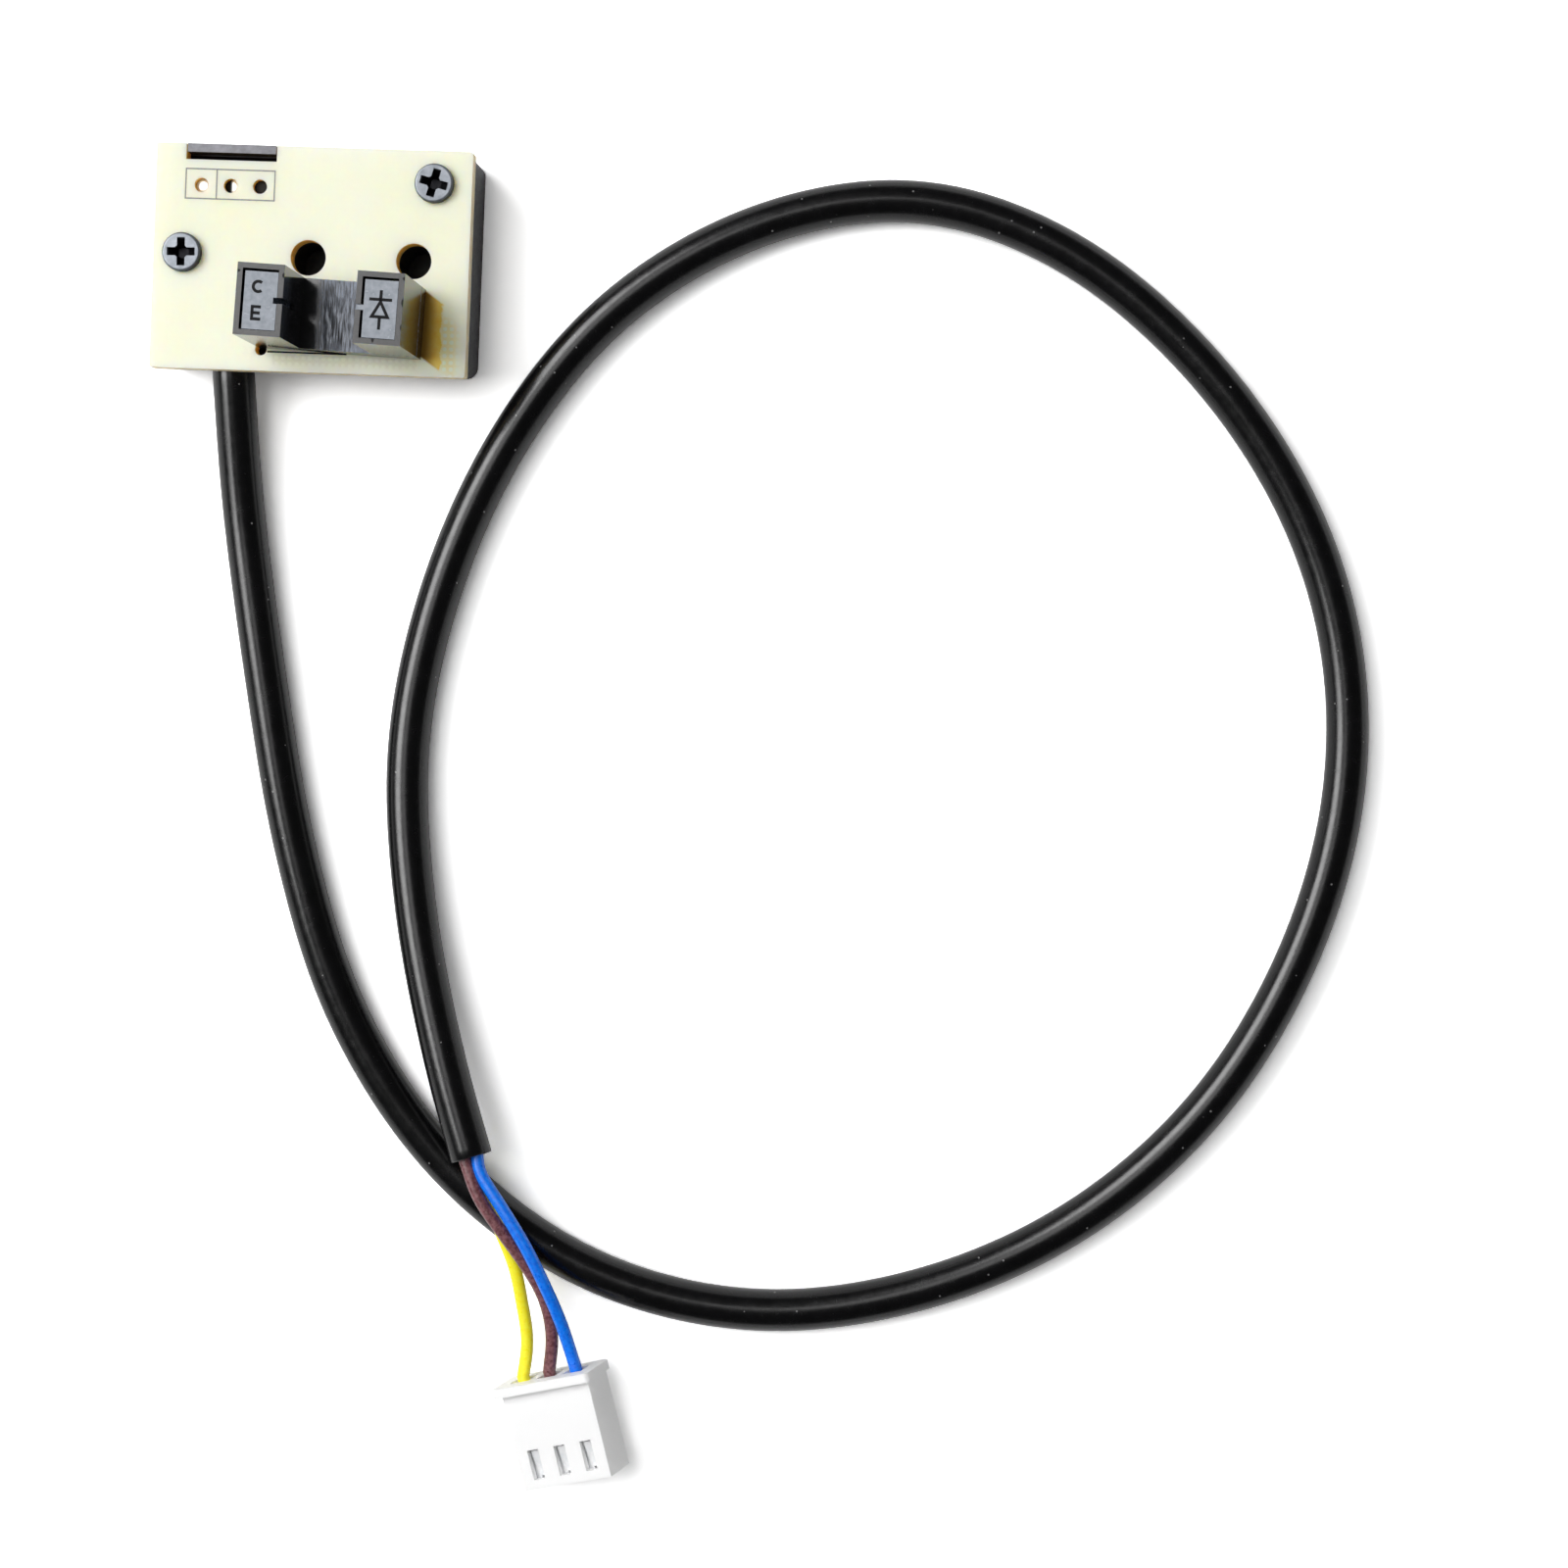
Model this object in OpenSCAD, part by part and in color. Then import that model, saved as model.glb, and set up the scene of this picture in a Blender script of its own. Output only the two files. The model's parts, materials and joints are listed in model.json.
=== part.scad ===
// Optical speed sensor: a slotted photo-interrupter on a small board, which is screwed onto a moulded
// tray, with a three-core cable that ends in a three-way plug.
// Millimetres. The origin is the middle of the head's underside, +X runs along the board, +Z is up.

/* [Circuit board] */
// Length of the board, from left to right
board_length = 27; // [26:0.5:34]
// Depth of the board, from front to back
board_depth = 19; // [18:0.5:26]
// Thickness of the board
board_thickness = 1.6; // [1:0.2:2.4]
// Radius of the board's corners
board_corner = 0.2; // [0.1:0.1:0.8]
// Length of the notch in the back edge
notch_length = 7.75; // [5:0.25:9]
// Depth of the notch in the back edge
notch_depth = 1.35; // [1:0.05:1.8]
// Distance from the board's left end to the notch
notch_inset = 2.55; // [2:0.05:4]
// Diameter of the free hole beside the interrupter
free_hole_d = 1; // [0.6:0.1:1.4]
// Distance from the board's left end to the free hole
free_hole_inset_x = 9.55; // [8:0.05:10.5]
// Distance from the board's front edge to the free hole
free_hole_inset_y = 1.8; // [1.2:0.1:2.2]

/* [Mounting holes] */
// Diameter of the two open mounting holes
mount_hole_d = 3; // [2:0.1:3.4]
// Distance between the two mounting holes
mount_pitch = 9; // [8:0.1:10]
// Distance from the board's right end to the middle of the two holes
mount_inset_x = 9.2; // [8.6:0.1:11]
// Distance from the board's back edge to the two holes
mount_inset_y = 9.35; // [6:0.05:10]
// Wall of the tray's bosses under these holes
mount_boss_wall = 1; // [0.6:0.1:1.4]

/* [Board screws] */
// Diameter of the screws
screw_d = 2; // [1.4:0.1:2.4]
// Length of the screws under the head
screw_length = 5; // [3.5:0.1:5.6]
// Diameter of the screw heads
screw_head_d = 3.3; // [3:0.05:4.4]
// Height of the screw heads
screw_head_h = 0.7; // [0.6:0.05:1.8]
// Length of the cross recess
recess_span = 2.4; // [1.6:0.05:2.6]
// Width of the arms of the cross recess
recess_arm = 0.68; // [0.4:0.02:0.9]
// Width of the cross recess in its middle, between the arms
recess_core = 1.2; // [1:0.05:1.4]
// Depth of the cross recess
recess_depth = 1.1; // [0.4:0.1:1.4]
// Distance from the board's left end to the left screw
left_screw_inset_x = 2.55; // [2.4:0.05:3.6]
// Distance from the board's back edge to the left screw
left_screw_inset_y = 9.25; // [8:0.05:11]
// Distance from the board's right end to the right screw
right_screw_inset_x = 3.15; // [2.6:0.05:3.6]
// Distance from the board's back edge to the right screw
right_screw_inset_y = 2.8; // [2.6:0.1:4]
// Wall of the tray's bosses round the screws
screw_boss_wall = 1.2; // [0.8:0.1:1.5]

/* [Wire holes] */
// Diameter of the holes that the cable's wires are soldered in
wire_hole_d = 1.2; // [0.8:0.1:1.4]
// Distance between these holes
wire_hole_pitch = 2.5; // [2.2:0.05:2.6]
// Distance from the board's left end to the first of these holes
wire_hole_inset_x = 3.95; // [3.5:0.05:4.5]
// Distance from the board's back edge to these holes
wire_hole_inset_y = 3.5; // [3:0.1:4]
// Height of the solder under the board
solder_height = 0.9; // [0.6:0.1:1]
// Depth of the solder's surface below the board's top in these holes
solder_sink = 0.5; // [0.2:0.1:0.8]

/* [Interrupter] */
// Length of the interrupter over both posts
interrupter_length = 13.8; // [13:0.1:15]
// Width of the interrupter
interrupter_width = 5.9; // [5:0.1:6]
// Height of the posts above the board
interrupter_height = 10; // [8:0.5:13]
// Length of each post
post_length = 3.9; // [3.4:0.1:4.2]
// Height of the bridge between the posts
bridge_height = 2.2; // [1.5:0.1:3.5]
// Wall of the shell round the two blocks
shell_wall = 0.45; // [0.35:0.05:0.6]
// Width of the light slits in the posts' inner walls
slit_width = 0.5; // [0.3:0.1:1]
// Length of the slits, from the top of the posts down
slit_length = 5; // [2:0.5:6]
// Depth of the blocks' tops below the rims of the posts
block_sink = 0.15; // [0.05:0.05:0.5]
// Gap round the blocks inside the shell
block_gap = 0.13; // [0.1:0.01:0.16]
// Depth of the notch in the detector's block behind its slit
detector_notch = 0.3; // [0.1:0.05:0.6]
// Reach of the emitter's lens rib into its slit
lens_reach = 0.35; // [0.1:0.05:0.4]
// Distance from the board's right end to the middle of the interrupter
interrupter_inset_x = 10.55; // [8.5:0.05:11]
// Distance from the board's front edge to the middle of the interrupter
interrupter_inset_y = 4.6; // [3.8:0.1:4.6]
// Turn of the interrupter on the board
interrupter_turn = -2.2; // [-3:0.1:3]
// Distance between the two legs of each block
lead_pitch = 2.54; // [2:0.01:2.8]
// Thickness of the legs
lead_size = 0.45; // [0.35:0.05:0.5]
// Diameter of the board's holes for the legs
lead_hole_d = 0.9; // [0.8:0.05:1.1]
// Length of the legs below the board
lead_tail = 1; // [0.6:0.1:1.2]

/* [Tray] */
// Height of the tray
tray_height = 5.5; // [5.5:0.1:8]
// Thickness of the tray's walls
tray_wall = 0.8; // [0.75:0.05:1.2]
// Thickness of the tray's floor
tray_floor = 1; // [0.6:0.1:1.2]
// Radius of the tray's upright corners
tray_corner = 1; // [0.4:0.1:2]
// Distance from the board's front edge back to the tray's front wall
tray_front_inset = 0.6; // [0:0.1:0.9]
// Thickness of the tab that stands in the board's notch
tab_thickness = 0.72; // [0.5:0.02:0.74]
// Gap at each end of the tab
tab_gap = 0.1; // [0.05:0.05:0.4]
// Thickness of the inner saddle under the cable
saddle_thickness = 1.2; // [0.8:0.1:2]
// Distance from the front wall's outer face to the saddle
saddle_inset = 3.2; // [2.4:0.1:3.8]

/* [Cable] */
// Diameter of the cable's jacket
cable_d = 3.6; // [3:0.1:3.8]
// Diameter of the insulated wires inside
core_d = 1.1; // [0.8:0.05:1.2]
// Distance from the board's left end to the cable
cable_inset = 6.5; // [6:0.1:7]
// Length of jacket inside the tray
cable_inside = 5.9; // [5:0.1:6.2]

/* [Plug] */
// Distance between the plug's contacts
plug_pitch = 2.5; // [2.3:0.05:3]
// Distance from the outer contacts to the plug's sides
plug_side = 1.6; // [1.3:0.05:2]
// Thickness of the plug's body
plug_thickness = 4.1; // [3.8:0.1:5]
// Length of the plug's body in front of the flange
plug_length = 8.4; // [7.6:0.1:11]
// Thickness of the flange at the plug's back
flange_thickness = 0.8; // [0.5:0.1:1.5]
// Reach of the flange past the body's sides
flange_side = 0.5; // [0.3:0.05:1]
// Reach of the flange past the body's top
flange_top = 0.9; // [0.3:0.1:1.2]
// Width of the plug's cavities
cavity_width = 1.8; // [1.7:0.05:2]
// Height of the plug's cavities
cavity_height = 2; // [1.8:0.05:2.2]
// Height of the contacts' axes above the body's underside
cavity_axis = 2.4; // [2:0.1:2.5]
// Width of the windows in the plug's top
window_width = 1.05; // [0.8:0.05:1.3]
// Length of the windows
window_length = 2.6; // [2:0.1:3]
// Distance from the plug's mating end to the windows
window_inset = 0.8; // [0.5:0.1:1.2]
// Width and height of the folded terminals
terminal_size = 1.6; // [1.45:0.05:1.65]
// Width of the terminals' latch tabs
latch_width = 0.7; // [0.5:0.05:0.75]
// Rise of the latch tabs above the terminals' boxes
latch_rise = 0.5; // [0.3:0.05:0.7]
// Thickness of the terminals' sheet
terminal_sheet = 0.18; // [0.1:0.01:0.18]
// Length of the terminals' front boxes
terminal_box = 4.6; // [3.6:0.1:5]
// Length of the terminals' crimped barrels
terminal_barrel = 1.6; // [1:0.1:1.8]
// Depth of the terminals behind the mating end
terminal_sink = 0.5; // [0.2:0.1:0.8]

/* [Hidden] */
$fn = 48;

// Cuts run past the faces by this much
past = 1;
// Gap round what is soldered, pressed or screwed in
seat_gap = 0.02;
// Gap round the shank of a screw in the board
shank_gap = 0.2;
// Gap round the cable's jacket where the tray and board grip it
grip_gap = 0.05;
// Gap between the jacket's ends and the wires that leave them
end_gap = 0.08;

// The board
board_bottom = tray_height;
board_top = board_bottom + board_thickness;
left_end = -board_length / 2;
right_end = board_length / 2;
front_edge = -board_depth / 2;
back_edge = board_depth / 2;
notch_x = left_end + notch_inset;

// Places on the board
left_screw = [left_end + left_screw_inset_x, back_edge - left_screw_inset_y];
right_screw = [right_end - right_screw_inset_x, back_edge - right_screw_inset_y];
left_screw_turn = 1;
right_screw_turn = -14;
head_edge = 0.2;
recess_taper = 0.35;
screw_point = 0.8;
mount_middle = [right_end - mount_inset_x, back_edge - mount_inset_y];
mount_holes = [for (side = [-1, 1]) mount_middle + [side * mount_pitch / 2, 0]];
wire_holes = [for (i = [0:2])
    [left_end + wire_hole_inset_x + i * wire_hole_pitch, back_edge - wire_hole_inset_y]];

// The interrupter
interrupter_middle = [right_end - interrupter_inset_x, front_edge + interrupter_inset_y];
post_offset = (interrupter_length - post_length) / 2;
block_length = post_length - 2 * (shell_wall + block_gap);
block_width = interrupter_width - 2 * (shell_wall + block_gap);
block_shift = 0.07;
lens_gap = 0.04;
lead_embed = 3;
lead_point = 0.15;
EMITTER_POST = 1;
DETECTOR_POST = -1;
BACK_LEG = 1;
FRONT_LEG = -1;
lead_solder_r = 0.9;
lead_solder_tip_r = 0.44;
lead_solder_share = 0.8;
wire_solder_spread = 0.4;
wire_solder_lip = 0.1;
wire_solder_round = 0.2;

// The two chip resistors lie under the board between the posts
resistor_size = [2, 1.25, 0.5];
resistor_cap = 0.3;
resistor_offset = 1.7;
fillet_size = 0.4;

// The tray
tray_front = front_edge + tray_front_inset;
tray_depth = back_edge - tray_front;
pilot_spare = 0.4;
saddle_side = 1;

// The cable leaves through the front wall, gripped between the tray and the board
cable_x = left_end + cable_inset;
cable_z = board_bottom - cable_d / 2 - grip_gap;
floor_gap = 0.05;
cable_lay = cable_d / 2 + floor_gap;
cable_start = [cable_x, tray_front + cable_inside, cable_z];
cable_lead_out = 0.5;
cable_exit = [cable_x, tray_front - cable_lead_out, cable_z];
cord_sides = 8;
jacket_spacing = 2.6;
wire_spacing = 2.9;

// The cable's route from the exit to the plug's wires: x, y and the rise above where it lies flat
cable_route = [
    [-6.65, -14.4, 1.15], [-5.9, -22, 0.3], [-3.5, -36, 0], [-0.5, -50, 0], [4.5, -64, 0],
    [13.5, -76.5, 0], [26, -85, 0], [40.5, -88, 0], [55, -85.5, 0], [68, -79, 0],
    [78.5, -69, 0], [85.5, -56.5, 0], [89, -43, 0], [88.5, -29.5, 0], [84, -17, 0],
    [75.5, -5.5, 0], [64, 3.5, 0], [51, 7.5, 0], [37.5, 5, 0], [25.5, -2.5, 0],
    [17, -13.5, 0], [11.5, -26.5, 0], [9, -40.5, 0.1], [10.3, -54.5, 0.8], [13.6, -67.5, 2.1],
    [16.4, -75.6, 2.95]];

jacket_points = concat([cable_start],
    even_points(concat([cable_exit], lying(cable_route)), jacket_spacing * cable_d));
far_end = jacket_points[len(jacket_points) - 1];
far_end_axis = unit(far_end - jacket_points[len(jacket_points) - 2]);

// The three wires lie in a triangle in the jacket
core_circle = core_d / sqrt(3) + seat_gap;

// The wires in the head run low under the board, spread past the left screw and turn up to their holes
wire_spread = 0.1;
wire_dip = 0.2;
wire_turn = 1.7;
wire_turn_rise = 0.3;
wire_upright = 0.4;

// The wires' routes between the jacket's far end and the plug
blue_route = [[17.1, -76.7, 5.2], [19.3, -79.7, 5.6], [21.4, -82.8, 5.7], [23.2, -86.2, 5.3],
    [24.7, -89.6, 4.6]];
brown_route = [[17.2, -78.9, 5.4], [19.3, -81.7, 5.4], [21.3, -84.4, 4.9], [23, -87.3, 4.2],
    [23.8, -90.6, 3.8]];
yellow_route = [[17.7, -78.8, 4.3], [19, -81.8, 4.2], [20.3, -84.9, 3.7], [21, -88.1, 3.2],
    [21.6, -91.4, 3]];

// The plug lies on the lower left edge of its flange
plug_place = [20.3, -95.9];
plug_yaw = 16.3;
plug_roll = 15.8;
plug_width = 2 * (plug_pitch + plug_side);
flange_corner = 0.4;
plug_drop = flange_corner * (sin(plug_roll) + cos(plug_roll) - 1);
cavity_middles = [for (i = [-1:1]) flange_side + plug_width / 2 + i * plug_pitch];
terminal_seam = 0.3;
terminal_strip = 0.9;
latch_gap = 0.15;
barrel_lip = 0.2;
wire_reach = 1.6;
wire_lead_in = 0.3;
LEFT_WAY = 0;
MIDDLE_WAY = 1;
RIGHT_WAY = 2;

// Curves and tubes

function unit(v) = v / norm(v);

function curve_point(a, b, c, d, t) =
    (2 * b + (c - a) * t + (2 * a - 5 * b + 4 * c - d) * t ^ 2 + (3 * b - a - 3 * c + d) * t ^ 3) / 2;

// A smooth curve through the points, with this many steps from each point to the next
function curve(points, steps) =
    let (last = len(points) - 1)
    let (ends_before = 2 * points[0] - points[1])
    let (ends_after = 2 * points[last] - points[last - 1])
    let (all = concat([ends_before], points, [ends_after]))
    concat([for (i = [0:last - 1], j = [0:steps - 1])
        curve_point(all[i], all[i + 1], all[i + 2], all[i + 3], j / steps)], [points[last]]);

// The distance along the points up to each of them
function distances(points) =
    [for (i = 0, total = 0; i < len(points);
        total = total + (i < len(points) - 1 ? norm(points[i + 1] - points[i]) : 0), i = i + 1) total];

function place_along(points, reached, at) =
    [for (axis = [0:2]) lookup(at, [for (i = [0:len(points) - 1]) [reached[i], points[i][axis]]])];

// Evenly spaced points along the smooth curve through the given points
function even_points(points, spacing) =
    let (fine = curve(points, 8))
    let (reached = distances(fine))
    let (total = reached[len(reached) - 1])
    let (count = max(2, round(total / spacing)))
    [for (i = [0:count]) place_along(fine, reached, total * i / count)];

function tangent(points, i) =
    let (before = i > 0 ? unit(points[i] - points[i - 1]) : unit(points[1] - points[0]))
    let (after = i < len(points) - 1 ? unit(points[i + 1] - points[i]) : before)
    unit(before + after);

// The direction square to the tangent that is nearest to v
function square_to(direction, v) = unit(v - (v * direction) * direction);

function normals(tangents) =
    [for (i = 0, n = square_to(tangents[0], [0, 0, 1]); i < len(tangents);
        n = i < len(tangents) - 1 ? square_to(tangents[i + 1], n) : n, i = i + 1) n];

function ring(middle, direction, normal, radius) =
    let (binormal = cross(direction, normal))
    [for (k = [0:cord_sides - 1]) let (angle = (k + 0.5) * 360 / cord_sides)
        middle + radius * (cos(angle) * normal + sin(angle) * binormal)];

// A tube along the points
module tube(points, diameter) {
    last = len(points) - 1;
    tangents = [for (i = [0:last]) tangent(points, i)];
    ups = normals(tangents);
    walls = [for (i = [0:last]) each ring(points[i], tangents[i], ups[i], diameter / 2)];
    sides = [for (i = [0:last - 1], k = [0:cord_sides - 1])
        let (a = i * cord_sides + k)
        let (b = i * cord_sides + (k + 1) % cord_sides)
        each [[a, a + cord_sides, b + cord_sides], [a, b + cord_sides, b]]];
    start_cap = [for (k = [0:cord_sides - 1]) k];
    end_cap = [for (k = [cord_sides - 1:-1:0]) last * cord_sides + k];
    polyhedron(points = walls, faces = concat(sides, [start_cap], [end_cap]));
}

// Shared shapes

// A rectangle with round corners, from its lower left corner
module rounded_rectangle(size, corner) {
    translate([corner, 0])
        square([size.x - 2 * corner, size.y]);
    translate([0, corner])
        square([size.x, size.y - 2 * corner]);
    for (x = [corner, size.x - corner], y = [corner, size.y - corner])
        translate([x, y])
            circle(r = corner);
}

module at(place, z = 0) {
    translate([place.x, place.y, z])
        children();
}

// The frame of the interrupter, standing on the board
module in_interrupter() {
    at(interrupter_middle, board_top)
        rotate([0, 0, interrupter_turn])
            children();
}

// The frame of the plug, with its mating end towards -Y and the flange's front face at y = 0
module in_plug() {
    at(plug_place, -plug_drop)
        rotate([0, 0, plug_yaw])
            rotate([0, -plug_roll, 0])
                children();
}

// The same, for one point
function plug_point(x, y, z) =
    let (across = x * cos(plug_roll) - z * sin(plug_roll))
    let (height = x * sin(plug_roll) + z * cos(plug_roll))
    [plug_place.x + across * cos(plug_yaw) - y * sin(plug_yaw),
        plug_place.y + across * sin(plug_yaw) + y * cos(plug_yaw), height - plug_drop];

// The tray

module tray_outline() {
    translate([left_end, tray_front])
        rounded_rectangle([board_length, tray_depth], tray_corner);
}

module tray_inside_outline() {
    translate([left_end + tray_wall, tray_front + tray_wall])
        rounded_rectangle([board_length - 2 * tray_wall, tray_depth - 2 * tray_wall],
            max(tray_corner - tray_wall, 0.1));
}

module tray_shell() {
    difference() {
        linear_extrude(tray_height)
            tray_outline();
        translate([0, 0, tray_floor])
            linear_extrude(tray_height)
                tray_inside_outline();
    }
}

module tray_bosses() {
    intersection() {
        union() {
            for (place = [left_screw, right_screw])
                at(place)
                    cylinder(h = tray_height, d = screw_d + 2 * screw_boss_wall);
            for (place = mount_holes)
                at(place)
                    cylinder(h = tray_height, d = mount_hole_d + 2 * mount_boss_wall);
        }
        linear_extrude(tray_height)
            tray_outline();
    }
}

// Webs that tie the screws' bosses to the walls beside them
module boss_webs() {
    at([left_end + tray_wall / 2, left_screw.y - tray_wall / 2])
        cube([left_screw_inset_x - tray_wall / 2, tray_wall, tray_height]);
    at([right_screw.x, right_screw.y - tray_wall / 2])
        cube([right_screw_inset_x - tray_wall / 2, tray_wall, tray_height]);
    at([right_screw.x - tray_wall / 2, right_screw.y])
        cube([tray_wall, right_screw_inset_y - tray_wall / 2, tray_height]);
}

module cable_saddle() {
    half = cable_d / 2 + saddle_side;
    translate([cable_x - half, tray_front + saddle_inset, 0])
        cube([2 * half, saddle_thickness, cable_z]);
}

module notch_tab() {
    translate([notch_x + tab_gap, back_edge - tab_thickness, tray_floor])
        cube([notch_length - 2 * tab_gap, tab_thickness, board_top - tray_floor]);
}

// The way of the cable through the front wall and over the saddle
module cable_way() {
    r = cable_d / 2 + grip_gap;
    reach = past + saddle_inset + saddle_thickness + past;
    translate([cable_x, tray_front - past, cable_z]) {
        rotate([-90, 0, 0])
            cylinder(h = reach, r = r);
        translate([-r, 0, 0])
            cube([2 * r, reach, tray_height]);
    }
}

module screw_pilot() {
    depth = screw_length - board_thickness + pilot_spare;
    translate([0, 0, tray_height - depth])
        cylinder(h = depth + past, d = screw_d + 2 * seat_gap);
}

module base_housing() {
    color("#2b2b2f")
        difference() {
            union() {
                tray_shell();
                tray_bosses();
                boss_webs();
                cable_saddle();
                notch_tab();
            }
            for (place = [left_screw, right_screw])
                at(place)
                    screw_pilot();
            for (place = mount_holes)
                at(place, tray_floor)
                    cylinder(h = tray_height, d = mount_hole_d);
            cable_way();
        }
}

// The board

module board_hole(place, diameter) {
    at(place, board_bottom - past)
        cylinder(h = board_thickness + 2 * past, d = diameter);
}

module circuit_board() {
    color("#fff8dc")
        difference() {
            at([left_end, front_edge], board_bottom)
                linear_extrude(board_thickness)
                    rounded_rectangle([board_length, board_depth], board_corner);
            translate([notch_x, back_edge - notch_depth, board_bottom - past])
                cube([notch_length, notch_depth + past, board_thickness + 2 * past]);
            for (place = [left_screw, right_screw])
                board_hole(place, screw_d + 2 * shank_gap);
            for (place = mount_holes)
                board_hole(place, mount_hole_d);
            for (place = wire_holes)
                board_hole(place, wire_hole_d);
            board_hole([left_end + free_hole_inset_x, front_edge + free_hole_inset_y], free_hole_d);
            in_interrupter()
                for (post = [EMITTER_POST, DETECTOR_POST], leg = [FRONT_LEG, BACK_LEG])
                    translate([post * post_offset, leg * lead_pitch / 2, -board_thickness - past])
                        cylinder(h = board_thickness + 2 * past, d = lead_hole_d);
        }
}

// The screws

// Half of the outline of a screw's round-edged head
module head_outline() {
    head_r = screw_head_d / 2;
    square([head_r, screw_head_h - head_edge]);
    square([head_r - head_edge, screw_head_h]);
    translate([head_r - head_edge, screw_head_h - head_edge])
        circle(r = head_edge);
}

module screw_solid() {
    shank = screw_length - screw_point;
    rotate_extrude()
        head_outline();
    translate([0, 0, -shank])
        cylinder(h = shank + head_edge, d = screw_d);
    translate([0, 0, -screw_length])
        cylinder(h = screw_point, d1 = screw_d / 4, d2 = screw_d);
}

// Two crossed wings and a cone between them, all narrower towards the bottom
module cross_recess() {
    half = recess_span / 2;
    bottom = recess_taper * half;
    for (turn = [0, 90])
        rotate([90, 0, turn])
            linear_extrude(recess_arm, center = true)
                polygon([[-bottom, -recess_depth], [bottom, -recess_depth], [half, 0], [half, past],
                    [-half, past], [-half, 0]]);
    translate([0, 0, -recess_depth])
        cylinder(h = recess_depth, d1 = recess_core * recess_taper, d2 = recess_core);
    cylinder(h = past, d = recess_core);
}

module board_screw(place, turn) {
    color("#8c9198")
        at(place, board_top)
            difference() {
                screw_solid();
                translate([0, 0, screw_head_h])
                    rotate([0, 0, turn])
                        cross_recess();
            }
}

// The interrupter

module post_cavity(post) {
    translate([post * post_offset - post_length / 2 + shell_wall, -interrupter_width / 2 + shell_wall,
            -past])
        cube([post_length - 2 * shell_wall, interrupter_width - 2 * shell_wall,
            interrupter_height + 2 * past]);
}

module light_slit(post) {
    inner_face = post_offset - post_length / 2;
    reach = shell_wall + past;
    start = post > 0 ? inner_face - past : -inner_face - shell_wall;
    translate([start, -slit_width / 2, interrupter_height - slit_length])
        cube([reach, slit_width, slit_length + past]);
}

module interrupter_shell() {
    color("#3c3e44")
        in_interrupter()
            difference() {
                translate([-interrupter_length / 2, -interrupter_width / 2, 0])
                    cube([interrupter_length, interrupter_width, interrupter_height]);
                slot = interrupter_length - 2 * post_length;
                translate([-slot / 2, -interrupter_width / 2 - past, bridge_height])
                    cube([slot, interrupter_width + 2 * past, interrupter_height]);
                for (post = [EMITTER_POST, DETECTOR_POST]) {
                    post_cavity(post);
                    light_slit(post);
                }
            }
}

// The outline of a leg, drawn down from the top of its stretch inside the block
module lead_outline(gap) {
    half = lead_size / 2 + gap;
    bottom = -board_thickness - lead_tail;
    polygon([[-half, lead_embed + gap], [half, lead_embed + gap], [half, bottom + lead_point],
        [half - lead_point, bottom], [lead_point - half, bottom], [-half, bottom + lead_point]]);
}

// A leg in the interrupter's frame, widened by a gap where it is cut from what holds it
module lead(post, leg, gap = 0) {
    translate([post * post_offset, leg * lead_pitch / 2 + lead_size / 2 + gap, 0])
        rotate([90, 0, 0])
            linear_extrude(lead_size + 2 * gap)
                lead_outline(gap);
}

module block(post) {
    color("#4a4d55")
        in_interrupter()
            difference() {
                translate([post * post_offset - block_length / 2 + block_shift,
                        -block_width / 2 - block_shift, 0])
                    cube([block_length, block_width, interrupter_height - block_sink]);
                for (leg = [FRONT_LEG, BACK_LEG])
                    lead(post, leg, seat_gap);
            }
}

module placed_lead(post, leg) {
    color("#c9ccd0")
        in_interrupter()
            lead(post, leg);
}

// The emitter's block has a lens rib that stands in its slit
module emitter_block() {
    gap = block_gap + block_shift;
    face = post_offset - block_length / 2 + block_shift;
    width = slit_width - 2 * lens_gap;
    block(EMITTER_POST);
    color("#4a4d55")
        in_interrupter()
            translate([face - gap - lens_reach, -width / 2, interrupter_height - slit_length + lens_gap])
                cube([gap + lens_reach + shell_wall, width, slit_length - lens_gap - block_sink]);
}

// The detector's block has a notch behind its slit
module detector_block() {
    face = -post_offset + block_length / 2 + block_shift;
    difference() {
        block(DETECTOR_POST);
        color("#4a4d55")
            in_interrupter()
                translate([face - detector_notch, -slit_width / 2, interrupter_height - slit_length])
                    cube([detector_notch + past, slit_width, slit_length]);
    }
}

module emitter_lead_anode() {
    placed_lead(EMITTER_POST, FRONT_LEG);
}

module emitter_lead_cathode() {
    placed_lead(EMITTER_POST, BACK_LEG);
}

module detector_lead_collector() {
    placed_lead(DETECTOR_POST, BACK_LEG);
}

module detector_lead_emitter() {
    placed_lead(DETECTOR_POST, FRONT_LEG);
}

// The solder and the resistors under the board

module lead_solder(post, leg) {
    height = lead_tail * lead_solder_share;
    difference() {
        translate([post * post_offset, leg * lead_pitch / 2, -board_thickness - height])
            cylinder(h = height, r1 = lead_solder_tip_r, r2 = lead_solder_r);
        lead(post, leg, seat_gap);
    }
}

// A plug of solder in a wire's hole, with a dome under the board that the wire ends on
module wire_solder() {
    dome_r = wire_hole_d / 2 + wire_solder_spread;
    tip_r = core_d / 2 + wire_solder_lip;
    neck_r = wire_hole_d / 2 - seat_gap;
    rise = board_thickness - solder_sink;
    rotate_extrude()
        polygon([[0, -solder_height], [tip_r, -solder_height], [dome_r, -solder_height / 3],
            [dome_r, 0], [neck_r, 0], [neck_r, rise - wire_solder_round / 2],
            [neck_r - wire_solder_round, rise], [0, rise]]);
}

module resistor_place(side) {
    at(interrupter_middle + [side * resistor_offset, 0], board_bottom)
        children();
}

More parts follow.
